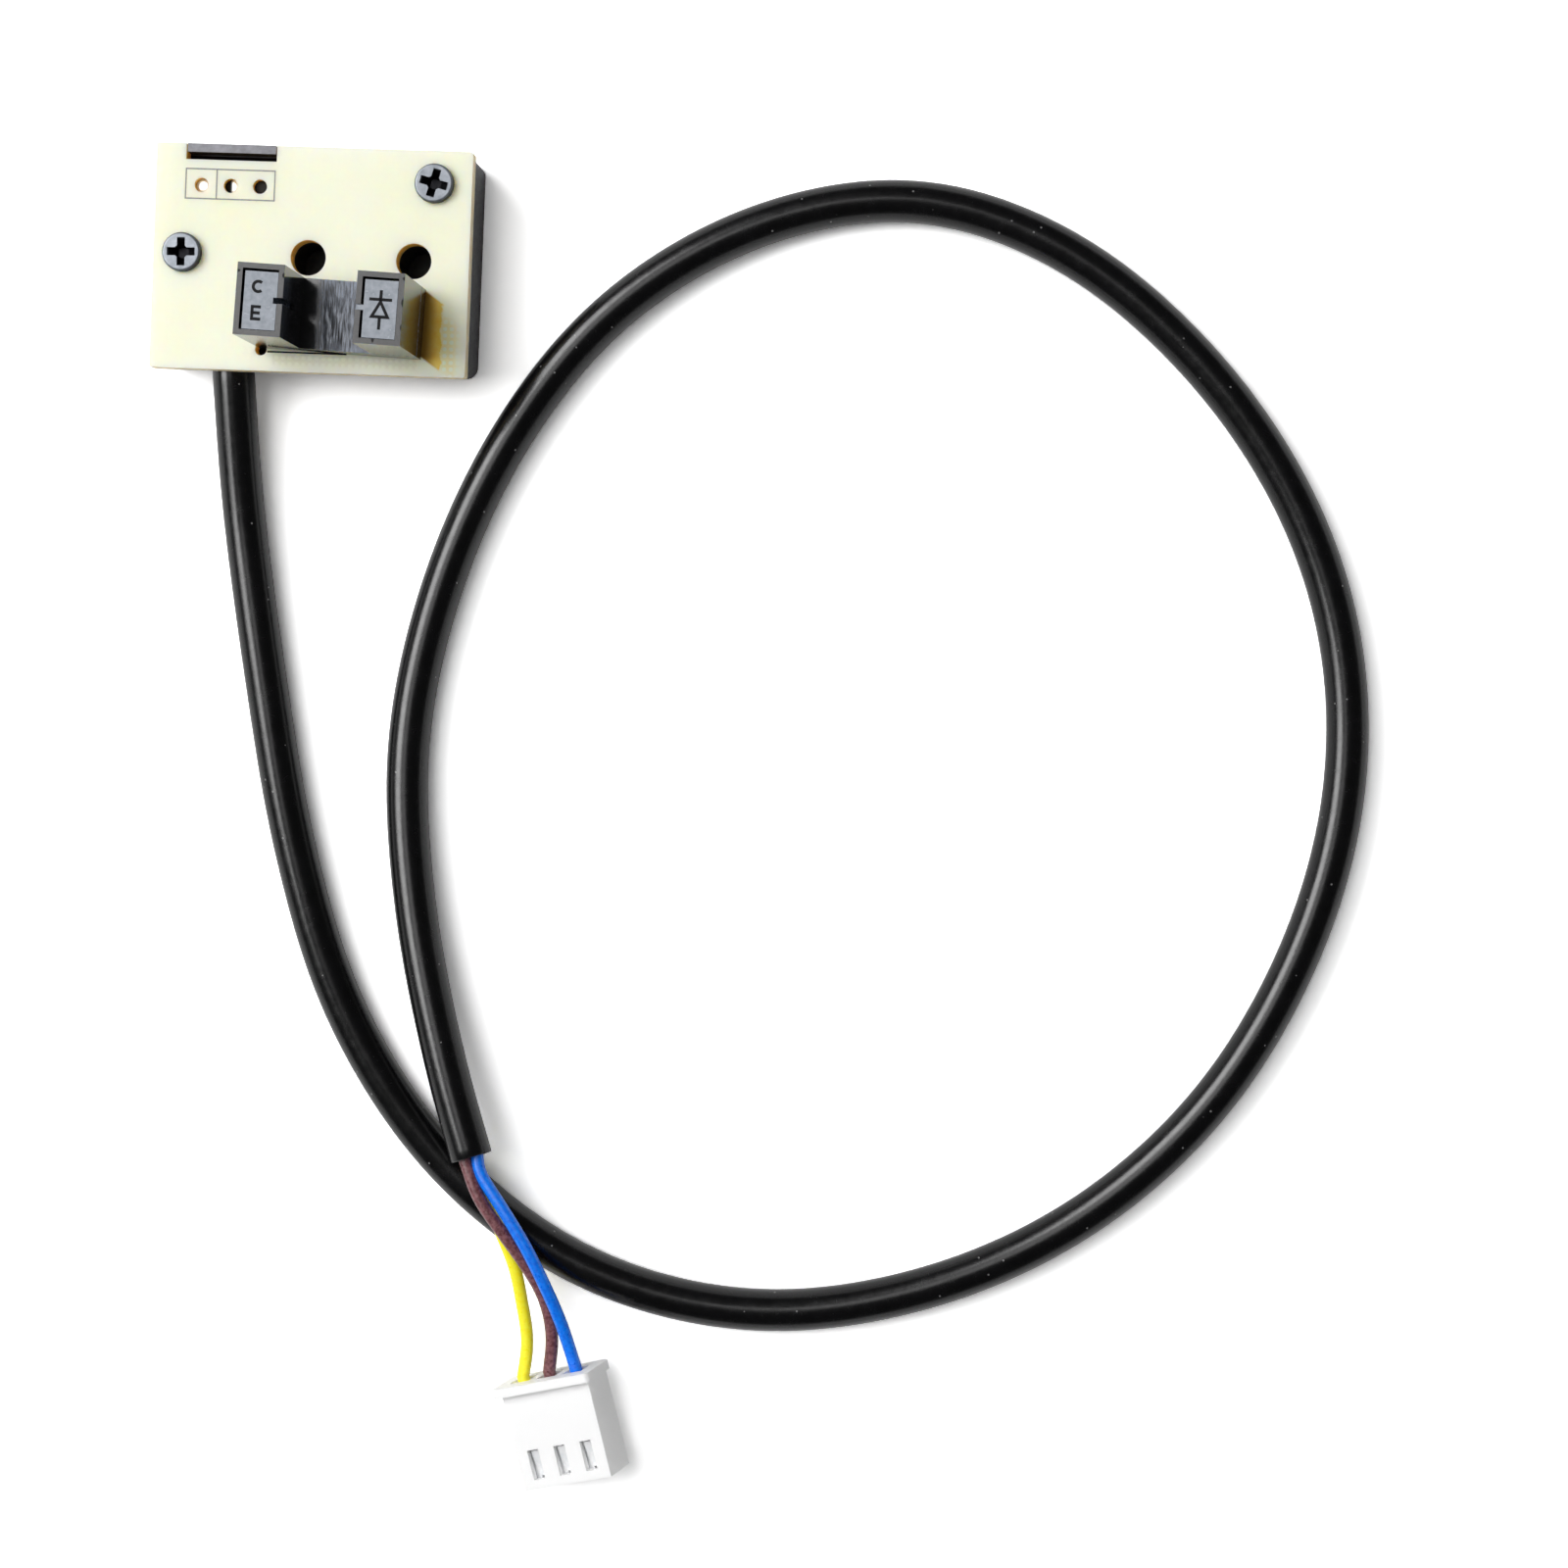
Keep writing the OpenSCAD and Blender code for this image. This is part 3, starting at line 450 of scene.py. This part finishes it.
def board_laminate():
    """Cream top, amber inside and at the cut edges, with the cloth's layers and a faint weave.

    Beside the interrupter's right post the top is painted amber as shadow, a darker brown at the post's
    foot, and the painted shadow's fringe shows between the threads round it.
    """
    s = Shader("board_laminate")
    x = s.axis("X")
    y = s.axis("Y")
    on_top = s.step_mm(s.axis("Z"), BOARD_TOP - 0.06, BOARD_TOP - 0.01)
    weave = s.step(s.times(s.bands("X", WEAVE_PER_MM), s.bands("Y", WEAVE_PER_MM)), 0.15, 0.5)
    plain = s.mottled(0.12, (1.0, 0.95, 0.7), (1.0, 0.975, 0.77), detail=4)
    # Painted shadow: amber beside the right post, turning to a darker painted brown shade at its foot
    painted_shadow_colour = s.mottled(1.1, (1.0, 0.62, 0.08), (1.0, 0.76, 0.2), detail=4)
    painted_shadow_colour = s.mix(s.step_mm(x, *SHADOW_BROWN_TO_AMBER), (0.3, 0.16, 0.02), painted_shadow_colour)
    top = s.mix(painted_shadow_share(s, x, y, weave), plain, painted_shadow_colour)

    layers = s.noise(2.2, 3, s.stretched((0.25, 0.25, 4)))
    brown = (0.6, 0.42, 0.2)
    tan = (0.85, 0.7, 0.42)
    straw = (0.95, 0.87, 0.66)
    cut_edge = s.ramp(layers, (0.3, brown), (0.5, tan), (0.75, straw))
    ends = BOARD_LENGTH / 2
    sides = BOARD_DEPTH / 2
    clear_of_ends = s.step_mm(s.maths("ABSOLUTE", x), ends - 0.05, ends - 0.2)
    clear_of_sides = s.step_mm(s.maths("ABSOLUTE", y), sides - 0.05, sides - 0.2)
    in_a_hole = s.times(clear_of_ends, clear_of_sides)
    # The hole walls are a brighter amber than the cut edges: partly the laminate's own colour, partly
    # painted glow of light through the board.
    wall = s.mix(in_a_hole, cut_edge, (1.0, 0.67, 0.25))

    s.colour(s.mix(on_top, wall, top))
    s.rough(s.mottled(1.5, 0.34, 0.46))
    s.set(specular_ior_level=0.2)
    s.set(subsurface_weight=0.75, subsurface_radius=(1.0, 0.78, 0.45), subsurface_scale=1.9 * MM)
    s.bump((s.noise(1.1, 2), 0.01), (weave, 0.004), (layers, 0.02))
    return s.material


def screw_steel():
    """Dull zinc on the head's top; below it, in the cross recess and down the head's side, painted
    near-black shade.
    """
    s = Shader("screw_steel")
    zinc = s.mottled(1.5, (0.17, 0.185, 0.205), (0.24, 0.255, 0.28))
    on_top = s.step_mm(s.axis("Z"), SCREW_TOP - 0.16, SCREW_TOP - 0.04)
    # Painted shade: all but the head's top is near black.
    s.colour(s.mix(on_top, (0.012, 0.012, 0.014), zinc))
    s.rough(s.mottled(5, 0.4, 0.54))
    s.set(metallic=0.9)
    s.bump((s.noise(6, 4), 0.01))
    return s.material


def interrupter_plastic():
    """Polished moulding, dull and chipped on the posts' tops and rubbed in streaks on the slot's floor,
    with a painted shade band beside the left post where the streaks stop, and the streaks painted paler
    away from it.
    """
    s = Shader("interrupter_plastic")
    x = s.axis("X")
    height = s.axis("Z")
    on_top = s.step_mm(height, POST_TOP - 0.1, POST_TOP - 0.05)
    on_floor = s.band_mm(height, SLOT_FLOOR - 0.3, SLOT_FLOOR + 0.3, 0.25)
    # No streaks near the left post, so a band of the floor beside it stays black as painted shade.
    on_floor = s.times(on_floor, s.step_mm(x, *STREAKS_PAST_SHADE_BAND))
    chips = s.times(s.chips(POST_CHIPS), on_top)

    fine_streaks = s.noise(1, 4, s.stretched((8.5, 0.8, 1)), 0.6)
    # Painted light: the streaks grow paler away from the left post's shade.
    painted_lightening = s.times(s.step_mm(x, *PAINTED_LIGHT_GROWS_FROM), 0.1)
    streaks_and_painted_light = s.maths("ADD", s.maths("SUBTRACT", fine_streaks, 0.05), painted_lightening)
    wear_and_painted_light = s.ramp(streaks_and_painted_light, (0.34, (0.001, 0.002, 0.006)), (0.66, (0.1, 0.145, 0.235)))

    plain = s.mottled(0.8, (0.004, 0.004, 0.005), (0.01, 0.01, 0.012))
    dull = s.mottled(3, (0.01, 0.01, 0.011), (0.025, 0.024, 0.026), detail=4)
    s.colour(s.mix(chips, s.mix(on_top, s.mix(on_floor, plain, wear_and_painted_light), dull), (0.001, 0.001, 0.001)))

    rubbed_gloss = s.ramp(streaks_and_painted_light, (0.4, 0.55), (0.6, 0.14))
    worn = s.mix(on_top, s.mix(on_floor, s.mottled(2, 0.08, 0.14), rubbed_gloss), 0.48)
    s.rough(s.mix(chips, worn, 0.9))
    s.set(specular_ior_level=0.9)
    s.bump((s.times(streaks_and_painted_light, on_floor), 0.006), (s.noise(5, 4), 0.003), (chips, -0.05))
    return s.material


def block_resin():
    """Glossy dark blue-grey resin, a little uneven."""
    s = Shader("block_resin")
    s.colour(s.mottled(1.6, (0.12, 0.15, 0.19), (0.19, 0.22, 0.27), detail=4))
    s.rough(s.mottled(2.5, 0.16, 0.28))
    s.set(specular_ior_level=0.9)
    s.bump((s.noise(4, 4), 0.004))
    return s.material


def solder_metal():
    """Bright in the first wire hole, with painted shade over the left half of the second and over all of
    the third.
    """
    s = Shader("solder")
    x = s.axis("X")
    second, third = WIRE_HOLES_X[1:]
    reach = 0.9
    edge = 0.1
    middle_edge = 0.15
    # Painted shade in the wire holes: dark on the second's left half and all of the third.
    left_of_middle = s.step_mm(x, second + middle_edge, second - middle_edge)
    half_shaded = s.times(s.step_mm(x, second - reach, second - reach + edge), left_of_middle)
    third_shaded = s.band_mm(x, third - reach, third + reach, edge)
    dark = s.maths("MAXIMUM", half_shaded, s.times(third_shaded, 0.97))
    bright = s.mottled(1.6, (0.8, 0.8, 0.82), (0.92, 0.92, 0.93))
    s.colour(s.mix(dark, bright, (0.015, 0.014, 0.012)))
    s.rough(s.mix(dark, s.mottled(4, 0.4, 0.6), 0.9))
    s.set(metallic=0.7, specular_ior_level=0.2)
    s.bump((s.noise(5, 3), 0.006))
    return s.material


def tinned_metal(name, low, high, roughness, metallic=1.0):
    """A plain metal with a slightly uneven skin."""
    s = Shader(name)
    s.colour(s.mottled(1.6, low, high))
    s.rough(s.mottled(4, roughness * 0.8, roughness * 1.2))
    s.set(metallic=metallic)
    s.bump((s.noise(5, 3), 0.006))
    return s.material


def resistor_ceramic():
    """Dull black."""
    s = Shader("resistor_ceramic")
    s.colour(s.mottled(2, (0.015, 0.015, 0.018), (0.04, 0.04, 0.045)))
    s.rough(s.mottled(4, 0.4, 0.6))
    s.bump((s.noise(8, 3), 0.006))
    return s.material


def jacket_black():
    """Satin black, with a few pale specks of dust."""
    s = Shader("jacket_black")
    black = s.mottled(0.5, (0.0012, 0.0012, 0.0014), (0.0025, 0.0025, 0.003))
    specks = s.step(s.spots(0.7), 0.075, 0.045)
    s.colour(s.mix(specks, black, (0.16, 0.16, 0.16)))
    s.rough(s.mottled(1.2, 0.21, 0.28))
    s.set(specular_ior_level=0.45)
    s.bump((s.noise(0.7, 2), 0.01), (s.noise(6, 3), 0.003))
    return s.material


def wire_insulation(name, low, high):
    """Satin insulation, mottled between two colours."""
    s = Shader(name)
    s.colour(s.mottled(3.5, low, high, detail=4, start=0.35))
    s.rough(s.mottled(3, 0.26, 0.34))
    s.set(specular_ior_level=0.6)
    s.bump((s.noise(4, 3), 0.014))
    return s.material


def plug_nylon():
    """White, and a little translucent."""
    s = Shader("plug_nylon")
    s.colour(s.mottled(0.5, (0.98, 0.98, 0.98), (0.99, 0.99, 0.99)))
    s.rough(s.mottled(2, 0.36, 0.46))
    s.set(subsurface_weight=0.4, subsurface_radius=(1.0, 1.0, 1.0), subsurface_scale=0.6 * MM)
    s.bump((s.noise(2.4, 3), 0.008))
    return s.material


def ink(name, colour):
    """Dull ink, slightly uneven."""
    s = Shader(name)
    darker = tuple(0.8 * part for part in colour)
    s.colour(s.mottled(4, darker, colour, start=0.35))
    s.set(roughness=0.6, specular_ior_level=0.1)
    return s.material


SLOTS = {
    "tray_plastic": tray_plastic,
    "board_laminate": board_laminate,
    "screw_steel": screw_steel,
    "interrupter_plastic": interrupter_plastic,
    "block_resin": block_resin,
    "lead_metal": lambda: tinned_metal("lead_metal", (0.6, 0.61, 0.62), (0.75, 0.75, 0.76), 0.3),
    "solder": solder_metal,
    "resistor_ceramic": resistor_ceramic,
    "jacket_black": jacket_black,
    "wire_blue": lambda: wire_insulation("wire_blue", (0.0, 0.13, 0.78), (0.0, 0.22, 0.95)),
    "wire_brown": lambda: wire_insulation("wire_brown", (0.1, 0.026, 0.03), (0.24, 0.1, 0.11)),
    "wire_yellow": lambda: wire_insulation("wire_yellow", (1.0, 0.88, 0.01), (1.0, 0.95, 0.04)),
    "plug_nylon": plug_nylon,
    "terminal_metal": lambda: tinned_metal(
        "terminal_metal", (0.85, 0.87, 0.89), (0.99, 0.99, 0.99), 0.45, metallic=0.3
    ),
    "silkscreen": lambda: ink("silkscreen", (0.34, 0.34, 0.34)),
    "line_ink": lambda: ink("line_ink", (0.01, 0.01, 0.012)),
    "mark_ink": lambda: ink("mark_ink", (0.01, 0.01, 0.012)),
}
materials = {name: make() for name, make in SLOTS.items()}
slot_of = {part["node"]: part["material_slot"] for part in frame["record"]["subparts"]}


def paint(obj, slot):
    obj.data.materials.clear()
    obj.data.materials.append(materials[slot])


# Meshes


def add_piece(name, vertices, faces, slot, smooth=True):
    """A new mesh piece, from vertices in millimetres, that rides on the one body."""
    mesh = bpy.data.meshes.new(name)
    mesh.from_pydata([tuple(part * MM for part in v) for v in vertices], [], faces)
    mesh.validate()
    mesh.update()
    for face in mesh.polygons:
        face.use_smooth = smooth
    obj = bpy.data.objects.new(name, mesh)
    bpy.context.scene.collection.objects.link(obj)
    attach(obj, "root")
    paint(obj, slot)
    return obj


def soften(obj, width):
    """Rounds an object's sharp edges."""
    bevel = obj.modifiers.new("soft_edges", "BEVEL")
    bevel.width = width * MM
    bevel.segments = EDGE_SEGMENTS
    bevel.limit_method = "ANGLE"
    bevel.angle_limit = SHARP_ANGLE
    bevel.harden_normals = False


# Curves and tubes


def curve_point(a, b, c, d, t):
    """The point at share t between b and c, on the smooth curve through a, b, c and d."""
    bend = 2 * a - 5 * b + 4 * c - d
    twist = 3 * b - a - 3 * c + d
    return (2 * b + (c - a) * t + bend * t**2 + twist * t**3) / 2


def smooth_line(points, spacing):
    """Evenly spaced points on the smooth curve through the given points, as in part.scad."""
    steps = 24
    points = [Vector(p) for p in points]
    ends = [2 * points[0] - points[1], *points, 2 * points[-1] - points[-2]]
    fine = [
        curve_point(*ends[i : i + 4], j / steps) for i in range(len(points) - 1) for j in range(steps)
    ]
    fine.append(points[-1])
    reached = [0.0]
    for a, b in zip(fine, fine[1:]):
        reached.append(reached[-1] + (b - a).length)
    count = max(2, round(reached[-1] / spacing))
    line = []
    k = 0
    for i in range(count + 1):
        at = reached[-1] * i / count
        while k < len(fine) - 2 and reached[k + 1] < at:
            k += 1
        share = (at - reached[k]) / (reached[k + 1] - reached[k])
        line.append(fine[k].lerp(fine[k + 1], min(max(share, 0.0), 1.0)))
    return line


def relaxed(line, passes):
    """The same line with its small ripples evened out. Its ends stay."""
    for _ in range(passes):
        inner = [(a + 2 * b + c) / 4 for a, b, c in zip(line, line[1:], line[2:])]
        line = [line[0], *inner, line[-1]]
    return line


def frames_along(line):
    """(place, across, up) at each point, carried along without twist."""
    up = Vector((0, 0, 1))
    frames = []
    for i, place in enumerate(line):
        direction = (line[min(i + 1, len(line) - 1)] - line[max(i - 1, 0)]).normalized()
        up = (up - up.dot(direction) * direction).normalized()
        frames.append((place, direction.cross(up), up))
    return frames


def ring_of(place, across, up, radius, sides):
    angles = [2 * math.pi * k / sides for k in range(sides)]
    return [place + radius * (math.cos(a) * across + math.sin(a) * up) for a in angles]


def swept(profile, sides):
    """Vertices and faces of rings joined in order. The first and last ring are closed."""
    vertices = [corner for ring in profile for corner in ring_of(*ring, sides)]
    faces = []
    for i in range(len(profile) - 1):
        for k in range(sides):
            a = i * sides + k
            b = i * sides + (k + 1) % sides
            faces.append((a, b, b + sides, a + sides))
    last = (len(profile) - 1) * sides
    faces.append(tuple(range(sides - 1, -1, -1)))
    faces.append(tuple(range(last, last + sides)))
    return vertices, faces


def bored_end(last_frame, direction, radius, bore, depth, edge):
    """Rings that round off a tube's end and run back into its bore."""
    place, across, up = last_frame
    cut = 0.3 * edge
    return [
        (place - edge * direction, across, up, radius),
        (place - cut * direction, across, up, radius - cut),
        (place, across, up, radius - edge),
        (place, across, up, bore + edge / 2),
        (place - edge * direction, across, up, bore),
        (place - depth * direction, across, up, bore),
    ]


def tube_piece(name, line, diameter, slot, sides, end_rings=()):
    profile = [(*f, diameter / 2) for f in frames_along(line)]
    if end_rings:
        profile = profile[:-1] + list(end_rings)
    vertices, faces = swept(profile, sides)
    return add_piece(name, vertices, faces, slot)


# Cable and wires


def jacket_end_place(end, direction, angle):
    """A wire's place in the jacket's end, at this angle in degrees round the direction out of it."""
    across = Vector((0, 0, 1)).cross(direction).normalized()
    up = direction.cross(across)
    reach = CORE_D / math.sqrt(3) + CORE_GAP
    return end + reach * (math.cos(math.radians(angle)) * across + math.sin(math.radians(angle)) * up)


def plug_point(x, y, z):
    """A point of the plug's own frame in the row frame, as in part.scad."""
    across = x * math.cos(PLUG_ROLL) - z * math.sin(PLUG_ROLL)
    height = x * math.sin(PLUG_ROLL) + z * math.cos(PLUG_ROLL)
    drop = FLANGE_CORNER * (math.sin(PLUG_ROLL) + math.cos(PLUG_ROLL) - 1)
    return Vector((
        PLUG_PLACE[0] + across * math.cos(PLUG_YAW) - y * math.sin(PLUG_YAW),
        PLUG_PLACE[1] + across * math.sin(PLUG_YAW) + y * math.cos(PLUG_YAW),
        height - drop,
    ))


def plug_wire(colour, way, angle, route, end, direction):
    """A wire from inside the jacket's end to its terminal."""
    start = jacket_end_place(end, direction, angle)
    tail = [start - depth * direction for depth in WIRE_TAILS]
    lead_in = plug_point(CAVITY_MIDDLES[way], FLANGE_THICKNESS + WIRE_LEAD_IN, CAVITY_AXIS)
    inner_end = plug_point(CAVITY_MIDDLES[way], FLANGE_THICKNESS - WIRE_REACH, CAVITY_AXIS)
    between = relaxed(smooth_line([start, *route, lead_in], WIRE_SPACING), WIRE_PASSES)
    line = [*tail, *between, lead_in.lerp(inner_end, 0.5), inner_end]
    wire = tube_piece("far_wire_" + colour, line, CORE_D, "wire_" + colour, WIRE_SIDES)
    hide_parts("plug_wire_" + colour)
    return wire


def cable():
    """The jacket and the wires at its far end, which run to the plug."""
    lying = [(x, y, CABLE_LAY + rise) for x, y, rise in CABLE_ROUTE]
    route = relaxed(smooth_line([CABLE_EXIT, *lying], CABLE_SPACING), CABLE_PASSES)
    line = [CABLE_START, CABLE_START.lerp(CABLE_EXIT, 0.5), *route]
    end = line[-1]
    direction = (end - line[-2]).normalized()
    end_rings = bored_end(
        frames_along(line)[-1], direction, CABLE_D / 2, JACKET_BORE_R, JACKET_BORE_DEPTH, JACKET_END_EDGE
    )
    jacket = tube_piece("jacket", line, CABLE_D, "jacket_black", CABLE_SIDES, end_rings)
    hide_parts("cable_jacket")
    wires = [plug_wire(*wire, end, direction) for wire in PLUG_WIRES]


# Print


def edge_points(points, width, closed):
    """The left and right edge points of a flat stroke along the points, with mitred turns."""
    longest_mitre = 2.5
    count = len(points)
    pairs = []
    for i, p in enumerate(points):
        before = points[(i - 1) % count] if closed or i else None
        after = points[(i + 1) % count] if closed or i < count - 1 else None
        way_in = (p - before).normalized() if before else (after - p).normalized()
        way_out = (after - p).normalized() if after else way_in
        side_in = Vector((-way_in.y, way_in.x))
        side_out = Vector((-way_out.y, way_out.x))
        mitre = (side_in + side_out).normalized()
        reach = width / 2 / max(mitre.dot(side_in), 1 / longest_mitre)
        pairs.append((p + reach * mitre, p - reach * mitre))
    return pairs


def stroke(points, width, closed, bottom):
    """Vertices and faces of a thin raised stroke, with four corners at each point."""
    pairs = edge_points(points, width, closed)
    top = bottom + PRINT_THICKNESS
    vertices = []
    for left, right in pairs:
        vertices += [(left.x, left.y, bottom), (right.x, right.y, bottom)]
        vertices += [(right.x, right.y, top), (left.x, left.y, top)]
    faces = []
    count = len(pairs)
    for i in range(count if closed else count - 1):
        a = 4 * i
        b = 4 * ((i + 1) % count)
        for k in range(4):
            following = (k + 1) % 4
            faces.append((a + k, a + following, b + following, b + k))
    if not closed:
        last = 4 * (count - 1)
        faces.append((3, 2, 1, 0))
        faces.append((last, last + 1, last + 2, last + 3))
    return vertices, faces


def print_piece(name, strokes, width, bottom, slot, place=(0, 0), turn=0.0):
    """One piece from strokes, each a (points, closed) pair in the print's own frame."""
    vertices = []
    faces = []
    turned = Matrix.Rotation(turn, 2)
    for points, closed in strokes:
        placed = [turned @ Vector(p) + Vector(place) for p in points]
        more_vertices, more_faces = stroke(placed, width, closed, bottom)
        faces += [tuple(i + len(vertices) for i in face) for face in more_faces]
        vertices += more_vertices
    add_piece(name, vertices, faces, slot, smooth=False)


def board_print():
    box = [(BOX_LEFT, BOX_FRONT), (BOX_RIGHT, BOX_FRONT), (BOX_RIGHT, BOX_BACK), (BOX_LEFT, BOX_BACK)]
    divider = [(BOX_DIVIDER, BOX_FRONT), (BOX_DIVIDER, BOX_BACK)]
    front_line = [(-FRONT_LINE_END, FRONT_LINE_Y), (FRONT_LINE_END, FRONT_LINE_Y)]
    print_piece("wire_hole_box", [(box, True), (divider, False)], BOX_STROKE, BOARD_TOP, "silkscreen")
    print_piece("front_line", [(front_line, False)], FRONT_LINE_STROKE, BOARD_TOP, "line_ink")


def interrupter_middle():
    """The middle of the interrupter, from its box."""
    low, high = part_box("interrupter_shell")
    return (low[0] + high[0]) / 2 / MM, (low[1] + high[1]) / 2 / MM


def on_block(side, place):
    """A place on a block's top, given from its middle, in the row frame. The right block's side is 1."""
    x = side * POST_OFFSET + BLOCK_SHIFT + place[0]
    y = place[1] - BLOCK_SHIFT
    middle = interrupter_middle()
    c = math.cos(INTERRUPTER_TURN)
    s = math.sin(INTERRUPTER_TURN)
    return middle[0] + x * c - y * s, middle[1] + x * s + y * c


def letter_c():
    steps = 20
    sweep = 360 - 2 * LETTER_C_OPENING
    angles = [math.radians(LETTER_C_OPENING + sweep * k / steps) for k in range(steps + 1)]
    return [([(LETTER_C_RADIUS * math.cos(a), LETTER_C_RADIUS * math.sin(a)) for a in angles], False)]


def letter_e():
    outline = [(0.38, 0.5), (-0.33, 0.5), (-0.33, -0.5), (0.4, -0.5)]
    middle_bar = [(-0.26, 0), (0.32, 0)]
    return [(outline, False), (middle_bar, False)]


def diode_sign():
    """A triangle under a bar, with a lead at each end."""
    upper_lead = [(0, 1.61), (0, 0.92)]
    bar = [(-0.94, 0.84), (0.94, 0.84)]
    triangle = [(0, 0.66), (-0.66, -0.57), (0.66, -0.57)]
    lower_lead = [(0, -0.64), (0, -1.61)]
    return [(upper_lead, False), (bar, False), (triangle, True), (lower_lead, False)]


def block_signs():
    """The letters of the detector's two legs on the left block, and a diode sign on the right one."""
    signs = {
        "detector_mark_c": (on_block(-1, LETTER_C_PLACE), letter_c()),
        "detector_mark_e": (on_block(-1, LETTER_E_PLACE), letter_e()),
        "emitter_mark": (on_block(1, DIODE_PLACE), diode_sign()),
    }
    for name, (place, strokes) in signs.items():
        print_piece(name, strokes, SIGN_STROKE, BLOCK_TOP, "mark_ink", place, INTERRUPTER_TURN)


# Floor and light


def add_light(name, direction, distance, size, level, target, mirrored=True, lights=True):
    """A soft box. At level 1 it would by itself show a level white surface at the target as white."""
    toward = Vector(direction).normalized()
    data = bpy.data.lights.new(name, "AREA")
    data.shape = "RECTANGLE"
    data.size = size[0] * MM
    data.size_y = size[1] * MM
    data.energy = level * math.pi**2 * (distance * MM)**2 / toward.z
    obj = bpy.data.objects.new(name, data)
    obj.location = (Vector(target) + toward * distance) * MM
    obj.rotation_euler = toward.to_track_quat("Z", "Y").to_euler()
    obj.visible_glossy = mirrored
    obj.visible_diffuse = lights
    bpy.context.scene.collection.objects.link(obj)


def floor():
    """A plain floor that is white where it is seen, also in metal, and keeps the object's shadow."""
    material = bpy.data.materials.new("floor")
    material.use_nodes = True
    nodes = material.node_tree.nodes
    links = material.node_tree.links
    nodes.clear()
    path = nodes.new("ShaderNodeLightPath")
    colours = {
        "Is Glossy Ray": FLOOR_MIRRORED_COLOUR,
        "Is Transmission Ray": FLOOR_MIRRORED_COLOUR,
        "Is Camera Ray": FLOOR_SEEN_COLOUR,
    }
    level = None
    for ray, colour in colours.items():
        step = nodes.new("ShaderNodeMix")
        step.inputs["A"].default_value = FLOOR_COLOUR
        step.inputs["B"].default_value = colour
        links.new(path.outputs[ray], step.inputs["Factor"])
        if level:
            links.new(level, step.inputs["A"])
        level = step.outputs["Result"]
    surface = nodes.new("ShaderNodeBsdfDiffuse")
    output = nodes.new("ShaderNodeOutputMaterial")
    links.new(level, surface.inputs["Color"])
    links.new(surface.outputs[0], output.inputs["Surface"])
    half = FLOOR_SIZE / 2 * MM
    corners = [(-half, -half, 0), (half, -half, 0), (half, half, 0), (-half, half, 0)]
    mesh = bpy.data.meshes.new("floor")
    mesh.from_pydata(corners, [], [(0, 1, 2, 3)])
    mesh.materials.append(material)
    obj = bpy.data.objects.new("floor", mesh)
    bpy.context.scene.collection.objects.link(obj)


def room():
    """A dim room above a white horizon."""
    world = bpy.data.worlds.new("world")
    bpy.context.scene.world = world
    world.use_nodes = True
    nodes = world.node_tree.nodes
    links = world.node_tree.links
    direction = nodes.new("ShaderNodeTexCoord")
    parts = nodes.new("ShaderNodeSeparateXYZ")
    links.new(direction.outputs["Generated"], parts.inputs[0])
    level = nodes.new("ShaderNodeMapRange")
    level.interpolation_type = "SMOOTHSTEP"
    level.inputs["From Min"].default_value = HORIZON_REACH
    level.inputs["From Max"].default_value = 2 * HORIZON_REACH
    level.inputs["To Min"].default_value = HORIZON_LEVEL
    level.inputs["To Max"].default_value = ROOM_LEVEL
    links.new(parts.outputs["Z"], level.inputs["Value"])
    links.new(level.outputs[0], nodes["Background"].inputs["Strength"])
    nodes["Background"].inputs["Color"].default_value = (1, 1, 1, 1)


def dress_nodes():
    """Gives every CAD node that still shows its material and its soft edges."""
    for name, node in frame["nodes"].items():
        if node.hide_render:
            continue
        paint(node, slot_of[name])
        if name in EDGE_WIDTHS:
            soften(node, EDGE_WIDTHS[name])


camera()
cable()
floor()
room()
add_light("soft_box", SOFT_DIRECTION, SOFT_DISTANCE, SOFT_SIZE, SOFT_LEVEL, LAMP_TARGET)
add_light("glint", SOFT_DIRECTION, GLINT_DISTANCE, GLINT_SIZE, GLINT_LEVEL, LAMP_TARGET, lights=False)
add_light("panel", PANEL_DIRECTION, PANEL_DISTANCE, PANEL_SIZE, PANEL_LEVEL, PANEL_TARGET)
add_light("fill", FILL_DIRECTION, FILL_DISTANCE, FILL_SIZE, FILL_LEVEL, LAMP_TARGET, mirrored=False)
board_print()
block_signs()
dress_nodes()
bpy.context.scene.view_settings.view_transform = "Standard"
